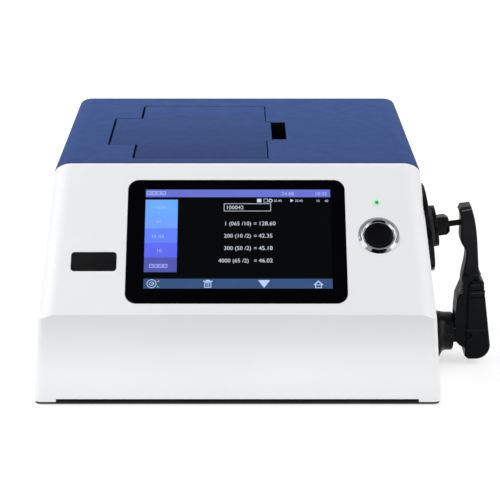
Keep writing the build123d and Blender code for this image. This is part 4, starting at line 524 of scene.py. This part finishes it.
LABEL_SIZE, VALUE_SIZE = 5.0, 5.2
EQUALS_X, VALUE_X = 90.3, 93.0
EQUALS_W, EQUALS_UP = 2.2, (1.1, 2.3)                   # the equals sign's two strokes
STROKE = 0.4
GAUGE_X, BIN_X, ARROW_X, HOUSE_X = 6.6, 51.85, 97.2, 141.0      # icons on the bottom bar


def draw_readings(drawn):
    for i, (label, value, x) in enumerate(READINGS):
        y = READINGS_Y - i * READINGS_STEP
        drawn.text(label, x, y, LABEL_SIZE)
        for up in EQUALS_UP:
            drawn.bar(EQUALS_X, y + up, EQUALS_W, STROKE)
        drawn.text(value, VALUE_X, y, VALUE_SIZE)


def draw_gauge(drawn, x, y=4.3):
    drawn.ring(x, y, 3.9, 0.55)
    drawn.ring(x, y, 1.9, 0.45)
    drawn.rect(x - 0.3, y - 0.3, x + 2.0, y + 0.3)


def draw_bin(drawn, x):
    drawn.rect(x - 3.75, 6.1, x + 3.75, 7.0)
    drawn.rect(x - 1.45, 7.0, x + 1.45, 7.7)
    drawn.outline(x - 2.85, 0.7, x + 2.85, 5.6, 0.6)
    for side in (-0.7, 0.7):
        drawn.rect(x + side - 0.25, 1.7, x + side + 0.25, 4.8)


def draw_arrow(drawn, x):
    drawn.polygon([(x - 4.8, 7.5), (x, 0.6), (x + 4.8, 7.5)])


def draw_house(drawn, x):
    drawn.polygon([(x - 3.9, 3.4), (x, 7.2), (x + 3.9, 3.4), (x + 3.2, 2.8), (x, 5.9), (x - 3.2, 2.8)])
    drawn.outline(x - 2.6, 0.4, x + 2.6, 3.6, 0.6)


field = Lit("field", (0.0028, 0.0032, 0.004), **FIELD, strength=0.6)
field.rect(0, 0, LIT_W, LIT_H)
top_bar = Lit("top_bar", (0.14, 0.17, 0.64), **BARS)
top_bar.rect(0, TOP_BAR_Y, LIT_W, LIT_H)
bottom_bar = Lit("bottom_bar", (0.042, 0.088, 0.215), **BARS)
bottom_bar.rect(0, 0, LIT_W, BOTTOM_BAR_Y)

tabs = []
tab_height = (TABS_HIGH - TABS_LOW) / len(TAB_COLORS)
for i, color in enumerate(TAB_COLORS):
    tab = Lit(f"tab_{i + 1}", color, **BARS)
    tab.rect(0, TABS_HIGH - (i + 1) * tab_height, TAB_W, TABS_HIGH - i * tab_height)
    tabs.append(tab)

# numbers and captions on the tabs and the top bar
faint = Lit("faint_marks", (0.34, 0.52, 1.0), **MARKS, strength=0.8)
faint.blocks(8.9, 73.6, 2.5, 3)
faint.text("65", 9.2, 60.0, 4.6)
faint.text("10", 9.6, 32.8, 4.6)
pale = Lit("pale_marks", (0.42, 0.5, 1.0), **MARKS)
pale.text("10 /65", 5.2, 46.2, 4.2)
pale.blocks(4.2, 18.8, 3.4, 4)
pale.blocks(0.8, 86.3, 3.6, 4)
pale.text("24.60", 112.0, TITLE_Y, TITLE_SIZE)
pale.text("10:35", 139.5, TITLE_Y, TITLE_SIZE)

# sample box, readings and status row
marks = Lit("marks", (0.62, 0.68, 0.8), **MARKS)
marks.outline(64.6, 71.0, 103.3, 78.3, STROKE)
marks.text("100042", 66.2, 72.9, 4.9)
draw_readings(marks)
marks.rect(91.9, STATUS_LOW, 95.5, STATUS_HIGH)
marks.ring(103.0, 81.0, 1.7, 0.7)
marks.text("25.40", 105.8, STATUS_Y, STATUS_SIZE)
marks.polygon([(119.4, 79.5), (122.0, 81.0), (119.4, 82.5)])
marks.text("25.40", 123.2, STATUS_Y, STATUS_SIZE)
marks.text("10", 140.6, STATUS_Y - 0.1, STATUS_SIZE)
marks.text("60", 147.8, STATUS_Y - 0.1, STATUS_SIZE)

icons = Lit("icons", (0.5, 0.66, 1.0), **MARKS)
icons.outline(97.4, STATUS_LOW, 100.8, STATUS_HIGH, 0.35)
draw_gauge(icons, GAUGE_X)
draw_bin(icons, BIN_X)
draw_arrow(icons, ARROW_X)
draw_house(icons, HOUSE_X)

# two coloured pointers beside the gauge
spark = Lit("spark_warm", (0.75, 0.32, 0.12), **MARKS, strength=0.8)
spark.polygon([(10.6, 6.0), (12.9, 7.9), (12.4, 6.0)])
leaf = Lit("spark_green", (0.1, 0.6, 0.25), **MARKS, strength=0.8)
leaf.polygon([(10.6, 1.0), (12.9, 1.0), (11.8, 2.6)])

for item in (field, top_bar, bottom_bar, *tabs, faint, pale, marks, icons, spark, leaf):
    item.build()

# ---------------------------------------------------------------- button's ring, and a thin ring of painted glow round the lamp, on the panel
RING_PROFILE = [(11.25, -7.5), (11.25, 0.5),                                # bore
                (11.4, 0.75), (11.8, 1.15), (12.8, 2.15), (13.2, 2.5),      # slope up from the bore
                (13.6, 2.62), (14.0, 2.55), (14.4, 2.25),                   # crest
                (15.5, 1.15), (16.4, 0.4), (16.75, 0.15), (16.85, 0.0),     # slope down to the panel
                (12.6, 0.0), (12.6, -7.5)]                                  # underside and sleeve
GLOW_RING_PROFILE = [(1.55, 0.0), (1.55, 0.16), (1.7, 0.22), (2.6, 0.2), (3.4, 0.06), (3.5, 0.0)]
ring = lathe("button_bezel", RING_PROFILE, chrome, "chrome_ring", on_panel(BUTTON_X, BUTTON_U), turns=96)
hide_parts("button_ring")
# a thin pale green ring of painted glow round the lamp
lathe("lamp_glow_ring", GLOW_RING_PROFILE, painted_glow, "lamp_green", on_panel(LAMP_X, LAMP_U), turns=40)

# ---------------------------------------------------------------- raised lines on the clamp arm
BAR_SUNK, BAND_SUNK = 0.6, 0.5  # a raised line starts this far inside the arm
BAR_SLOPE = 0.35                # share of a bar's half width that its slopes take
RIBS, RIB_Z, RIB_STEP, RIB_RISE = 3, 64.4, 1.9, 1.0


def arm_bar(name, start, end, half, width, proud):
    """Raised bar with sloping sides on the arm's front face, from start to end as (x, z)."""
    start, end = Vector(start), Vector(end)
    along = (end - start).normalized() * width / 2
    side = Vector((-along.y, along.x))
    verts = []
    for out, cut in ((-BAR_SUNK, 0.0), (proud, BAR_SLOPE)):
        for point, inward in ((start, along), (end, -along)):
            for edge in (1 - cut, cut - 1):
                x, z = point + inward * cut + side * edge
                verts.append(from_middle(x, ARM_Y - half - out, z))
    faces = [(0, 1, 3, 2), (4, 6, 7, 5), (0, 4, 5, 1), (1, 5, 7, 3), (3, 7, 6, 2), (2, 6, 4, 0)]
    mend(add_piece(name, verts, faces, painted_highlight_lip, "clamp", "arm_plastic"))


def arm_band(name, z, start, edge, half, width, proud, rise=0.0, corner=2.5, steps=8):
    """Raised band round the arm's outer side, from x at start out to the edge and back, climbing by rise."""
    path = [((start, -half), (0, -1))]
    for side, first in ((-1, -90), (1, 0)):
        for i in range(steps + 1):
            angle = math.radians(first + 90 * i / steps)
            way = (math.cos(angle), math.sin(angle))
            path.append(((edge - corner + corner * way[0], side * (half - corner) + corner * way[1]), way))
    path.append(((start, half), (0, 1)))
    profile = ((-BAND_SUNK, -0.5), (proud, -0.25), (proud, 0.25), (-BAND_SUNK, 0.5))
    sections = []
    for (x, y), way in path:
        height = z + rise * (x - start) / (edge - start)
        sections.append([from_middle(x + way[0] * out, ARM_Y + y + way[1] * out, height + up * width)
                         for out, up in profile])
    mend(add_piece(name, *through(sections), band_highlight, "clamp", "arm_plastic"), SHARP)


# the head's lip and the web's ribs in the pale grey of painted highlight
arm_bar("head_lip", (188.3, 136.9), (196.0, 138.5), NECK_HALF, width=1.3, proud=0.35)
for i in range(RIBS):
    rib_z = RIB_Z + i * RIB_STEP
    arm_bar(f"web_rib_{i + 1}", (188.6, rib_z), (191.9, rib_z + RIB_RISE), WEB_HALF, width=0.7, proud=0.3)
# bands round the arm: real raised bands, coloured lighter as painted highlight
arm_band("neck_lip", 80.2, 196.4, 206.6, NECK_HALF, width=1.4, proud=0.4, rise=0.3)
arm_band("handle_lip_upper", 72.3, 198.3, 209.4, FOOT_HALF, width=1.2, proud=0.35, rise=0.9)
arm_band("handle_lip_lower", 65.0, 198.6, 210.4, FOOT_HALF, width=1.5, proud=0.4, rise=0.8)
arm_band("foot_lip", 31.9, 194.2, 214.8, FOOT_HALF, width=0.8, proud=0.15)

# ---------------------------------------------------------------- dark strips of painted shadow in the gap round the lid, and a dark sheet of painted shade in the finger hole
SHADE_STRIP_TOP = 176.86                                       # top of the painted-shadow strips in the gap and of the painted-shade sheet in the hole
GAP_SHADOW_SIZE, HOLE_SHADE_SIZE = (0.58, 1.66), (0.5, 4.36)      # along Y and down from the top
GAP_SHADOW_STRIPS = (("lid_gap_shadow_front", -86.0, 24.5, -60.86), ("lid_gap_shadow_tab", -110.0, -88.0, -12.86),
         ("lid_gap_shadow_back", -86.0, 24.5, 136.16))        # name, both ends, and the front side


def slab(name, x_low, x_high, y_low, size, finish, body, slot, edge):
    """Thin bar across the cover with its long edges taken off, x from the mid-plane."""
    y_high, z_low = y_low + size[0], SHADE_STRIP_TOP - size[1]
    outline = [(y_low + edge, z_low), (y_high - edge, z_low),
               (y_high, z_low + edge), (y_high, SHADE_STRIP_TOP - edge),
               (y_high - edge, SHADE_STRIP_TOP), (y_low + edge, SHADE_STRIP_TOP),
               (y_low, SHADE_STRIP_TOP - edge), (y_low, z_low + edge)]
    sections = [[from_middle(x, y, z) for y, z in outline] for x in (x_low, x_high)]
    mend(add_piece(name, *through(sections), finish, body, slot))


# painted shadow: dark foam strips in the gap round the lid stand for the shadow in it
for name, x_low, x_high, y_low in GAP_SHADOW_STRIPS:
    slab(name, x_low, x_high, y_low, GAP_SHADOW_SIZE, foam, "lid_door", "seal_foam", edge=0.05)
# painted shade: a black sheet on the finger hole's wall
slab("finger_hole_shade", 31.5, 43.4, 69.7, HOLE_SHADE_SIZE, painted_shadow_black, "casing", "black_plastic", edge=0.12)

# ---------------------------------------------------------------- ring and bar printed on the power rocker
ROCKER_X = -103.8
PRINT_THICK = 0.12
upper_face = facing_back(ROCKER_X, 169.99, 59.0, degrees=-1.0)
lower_face = facing_back(ROCKER_X, 171.0, 51.55, degrees=16.8)
off_mark = Raised(PRINT_THICK)
off_mark.ring(0, 0, 1.35, 0.4)
on_mark = Raised(PRINT_THICK)
on_mark.bar(0, 0, 0.44, 2.6)
for name, mark, face in (("rocker_mark_off", off_mark, upper_face), ("rocker_mark_on", on_mark, lower_face)):
    add_piece(name, mark.verts, mark.faces, white, "power_rocker", "casing_white", face)

# ---------------------------------------------------------------- bracket, its flange low above the boss
FLANGE_KEPT = 0.12              # share of the flange's reach that is left at its top


def pulled_in(point):
    """One of the bracket's points, pulled in towards the boss, the more the higher it lies."""
    y, z = point.y / MM - ARM_Y, point.z / MM - PIVOT_Z
    reach = math.hypot(y, z)
    if reach <= BOSS_R:
        return tuple(point)
    low_share = (1 - z / reach) / 2
    kept = FLANGE_KEPT + (1 - FLANGE_KEPT) * low_share ** 1.5
    pull = (BOSS_R + (reach - BOSS_R) * kept) / reach
    return (point.x, (ARM_Y + y * pull) * MM, (PIVOT_Z + z * pull) * MM)


plain = nodes["arm_bracket"].data
bracket = add_piece("bracket_horn", [pulled_in(vertex.co) for vertex in plain.vertices],
                    [tuple(face.vertices) for face in plain.polygons], plastic, "casing", "black_plastic")
mend(bracket, sharp=32, weld=1e-6)
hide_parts("arm_bracket")

# ---------------------------------------------------------------- floor and world
FLOOR_GREY = 0.5
GLOW_SPAN = (0.4, 1.6)                  # the floor's glow grows over this way from the origin, in metres
GLOW_NEAR, GLOW_FAR = 0.62, 0.85
WORLD_LIGHT, WORLD_SEEN = 0.42, 1.0     # how strongly the white world lights, and how bright it looks


def stage_sheet(name, corner, across, up, material):
    """Flat sheet of the studio, with two sides from one corner, in metres."""
    corner, across, up = Vector(corner), Vector(across), Vector(up)
    mesh = bpy.data.meshes.new(name)
    mesh.from_pydata([corner, corner + across, corner + across + up, corner + up], [], [(0, 1, 2, 3)])
    mesh.materials.append(material)
    obj = bpy.data.objects.new(name, mesh)
    bpy.context.scene.collection.objects.link(obj)
    return obj


def seen_rays(tree):
    """1 for camera, glossy and transmission rays, and 0 for the rays that light the object."""
    path = add_node(tree, "ShaderNodeLightPath")
    seen = path.outputs["Is Camera Ray"]
    for name in ("Is Glossy Ray", "Is Transmission Ray"):
        either = add_node(tree, "ShaderNodeMath", operation="MAXIMUM")
        tree.links.new(seen, either.inputs[0])
        tree.links.new(path.outputs[name], either.inputs[1])
        seen = either.outputs[0]
    return seen


def pale_floor():
    """Grey floor that also glows for the rays that see it, more so away from the object."""
    material = bpy.data.materials.new("floor_pale")
    material.use_nodes = True
    tree = material.node_tree
    tree.nodes.remove(tree.nodes["Principled BSDF"])
    diffuse = add_node(tree, "ShaderNodeBsdfDiffuse", {"Color": (FLOOR_GREY, FLOOR_GREY, FLOOR_GREY, 1)})
    glow = add_node(tree, "ShaderNodeEmission")
    place = add_node(tree, "ShaderNodeTexCoord")
    away = add_node(tree, "ShaderNodeVectorMath", operation="LENGTH")
    spread = add_node(tree, "ShaderNodeMapRange", {"From Min": GLOW_SPAN[0], "From Max": GLOW_SPAN[1],
                                                   "To Min": GLOW_NEAR, "To Max": GLOW_FAR})
    lift = add_node(tree, "ShaderNodeMath", operation="MULTIPLY")
    both = add_node(tree, "ShaderNodeAddShader")
    for output, inlet in ((place.outputs["Object"], away.inputs[0]),
                          (away.outputs["Value"], spread.inputs["Value"]),
                          (seen_rays(tree), lift.inputs[0]),
                          (spread.outputs["Result"], lift.inputs[1]),
                          (lift.outputs[0], glow.inputs["Strength"]),
                          (diffuse.outputs[0], both.inputs[0]),
                          (glow.outputs[0], both.inputs[1]),
                          (both.outputs[0], tree.nodes["Material Output"].inputs["Surface"])):
        tree.links.new(output, inlet)
    return material


def white_world():
    world = bpy.data.worlds.new("studio")
    world.use_nodes = True
    tree = world.node_tree
    background = tree.nodes["Background"]
    background.inputs["Color"].default_value = (1, 1, 1, 1)
    level = add_node(tree, "ShaderNodeMapRange", {"To Min": WORLD_LIGHT, "To Max": WORLD_SEEN})
    tree.links.new(seen_rays(tree), level.inputs["Value"])
    tree.links.new(level.outputs["Result"], background.inputs["Strength"])
    return world


stage_sheet("floor", (-6, -6, 0), (12, 0, 0), (0, 18, 0), pale_floor())
bpy.context.scene.world = white_world()

# ---------------------------------------------------------------- lamps, in metres and watts
MIDDLE_X = BODY_X * MM
KEY_SIZE, STRIP_SIZE, SIDE_SIZE, BACK_SIZE = (1.3, 1.2), (0.7, 0.03), (0.7, 0.4), (1.2, 0.6)


def lamp(name, place, target, size, power, glossy=True):
    """Rectangle of light that the camera doesn't see, and mirror-like surfaces only if glossy."""
    light = bpy.data.lights.new(name, "AREA")
    light.shape = "RECTANGLE"
    light.size, light.size_y = size
    light.energy = power
    obj = bpy.data.objects.new(name, light)
    obj.location = place
    obj.rotation_euler = (Vector(target) - Vector(place)).to_track_quat("-Z", "Y").to_euler()
    obj.visible_camera = False
    obj.visible_glossy = glossy
    bpy.context.scene.collection.objects.link(obj)


for name, side, power in (("key_left", -1, 25.5), ("key_right", 1, 17)):
    lamp(name, (side * 1.5, -0.5, 1.66), (side * 0.02, -0.05, 0.08), KEY_SIZE, power)
lamp("front_strip", (MIDDLE_X, -0.24, 0.012), (MIDDLE_X, FRONT_Y * MM, 0.03), STRIP_SIZE, 0.108)
for name, place, target, size, power in (
        ("side_left", (-1.35, 0.5, 0.36), (-0.15, 0.02, 0.13), SIDE_SIZE, 2.6),
        ("side_right", (1.35, 0.5, 0.36), (0.12, 0.02, 0.13), SIDE_SIZE, 4),
        ("back_fill", (MIDDLE_X, 1.7, 0.6), (MIDDLE_X, 0.15, 0.1), BACK_SIZE, 5)):
    lamp(name, place, target, size, power, glossy=False)

# ---------------------------------------------------------------- cards that only mirror-like surfaces see
BRIGHT = 3.2


def card(name, corner, across, up, brightness=0.0):
    """Card round the camera: black, or shining with that brightness."""
    material = bpy.data.materials.new(name)
    material.use_nodes = True
    shader = material.node_tree.nodes["Principled BSDF"]
    for inlet, value in (("Base Color", (0.004, 0.004, 0.004, 1)), ("Specular IOR Level", 0),
                         ("Emission Color", (1, 1, 1, 1)), ("Emission Strength", brightness)):
        shader.inputs[inlet].default_value = value
    obj = stage_sheet(name, corner, across, up, material)
    for rays in ("camera", "diffuse", "shadow", "transmission", "volume_scatter"):
        setattr(obj, "visible_" + rays, False)


card("card_above", (-0.75, -1.15, 1.75), (1.5, 0, 0), (0, 1.05, 0.25))
card("card_front", (-0.75, -1.75, 0.0), (1.7, 0, 0), (0, 0, 0.4))
card("card_low", (-0.4, -1.75, 0.015), (1.0, 0, 0), (0, 1.25, 0))
for name, x in (("card_left", -1.5), ("card_right", 1.6)):
    card(name, (x, -1.5, 0.05), (0, 1.05, 0), (0, 0, 0.9), BRIGHT)

# ---------------------------------------------------------------- camera
CAMERA_Y, CAMERA_Z = -1.483188, 0.544197
CAMERA_TILT = 72.5                      # degrees up from straight down
CAMERA_LENS, CAMERA_SENSOR = 125.14, 36
CAMERA_SHIFT = 0.0252                   # the casing's mid-plane is left of the picture's middle
camera = bpy.data.cameras.new("camera")
camera.sensor_width = CAMERA_SENSOR
camera.lens = CAMERA_LENS
camera.shift_x = CAMERA_SHIFT
camera.clip_start, camera.clip_end = 0.05, 30
holder = bpy.data.objects.new("camera", camera)
holder.location = (MIDDLE_X, CAMERA_Y, CAMERA_Z)
holder.rotation_euler = (math.radians(CAMERA_TILT), 0, 0)
bpy.context.scene.collection.objects.link(holder)
bpy.context.scene.camera = holder
bpy.context.scene.view_settings.view_transform = "Standard"
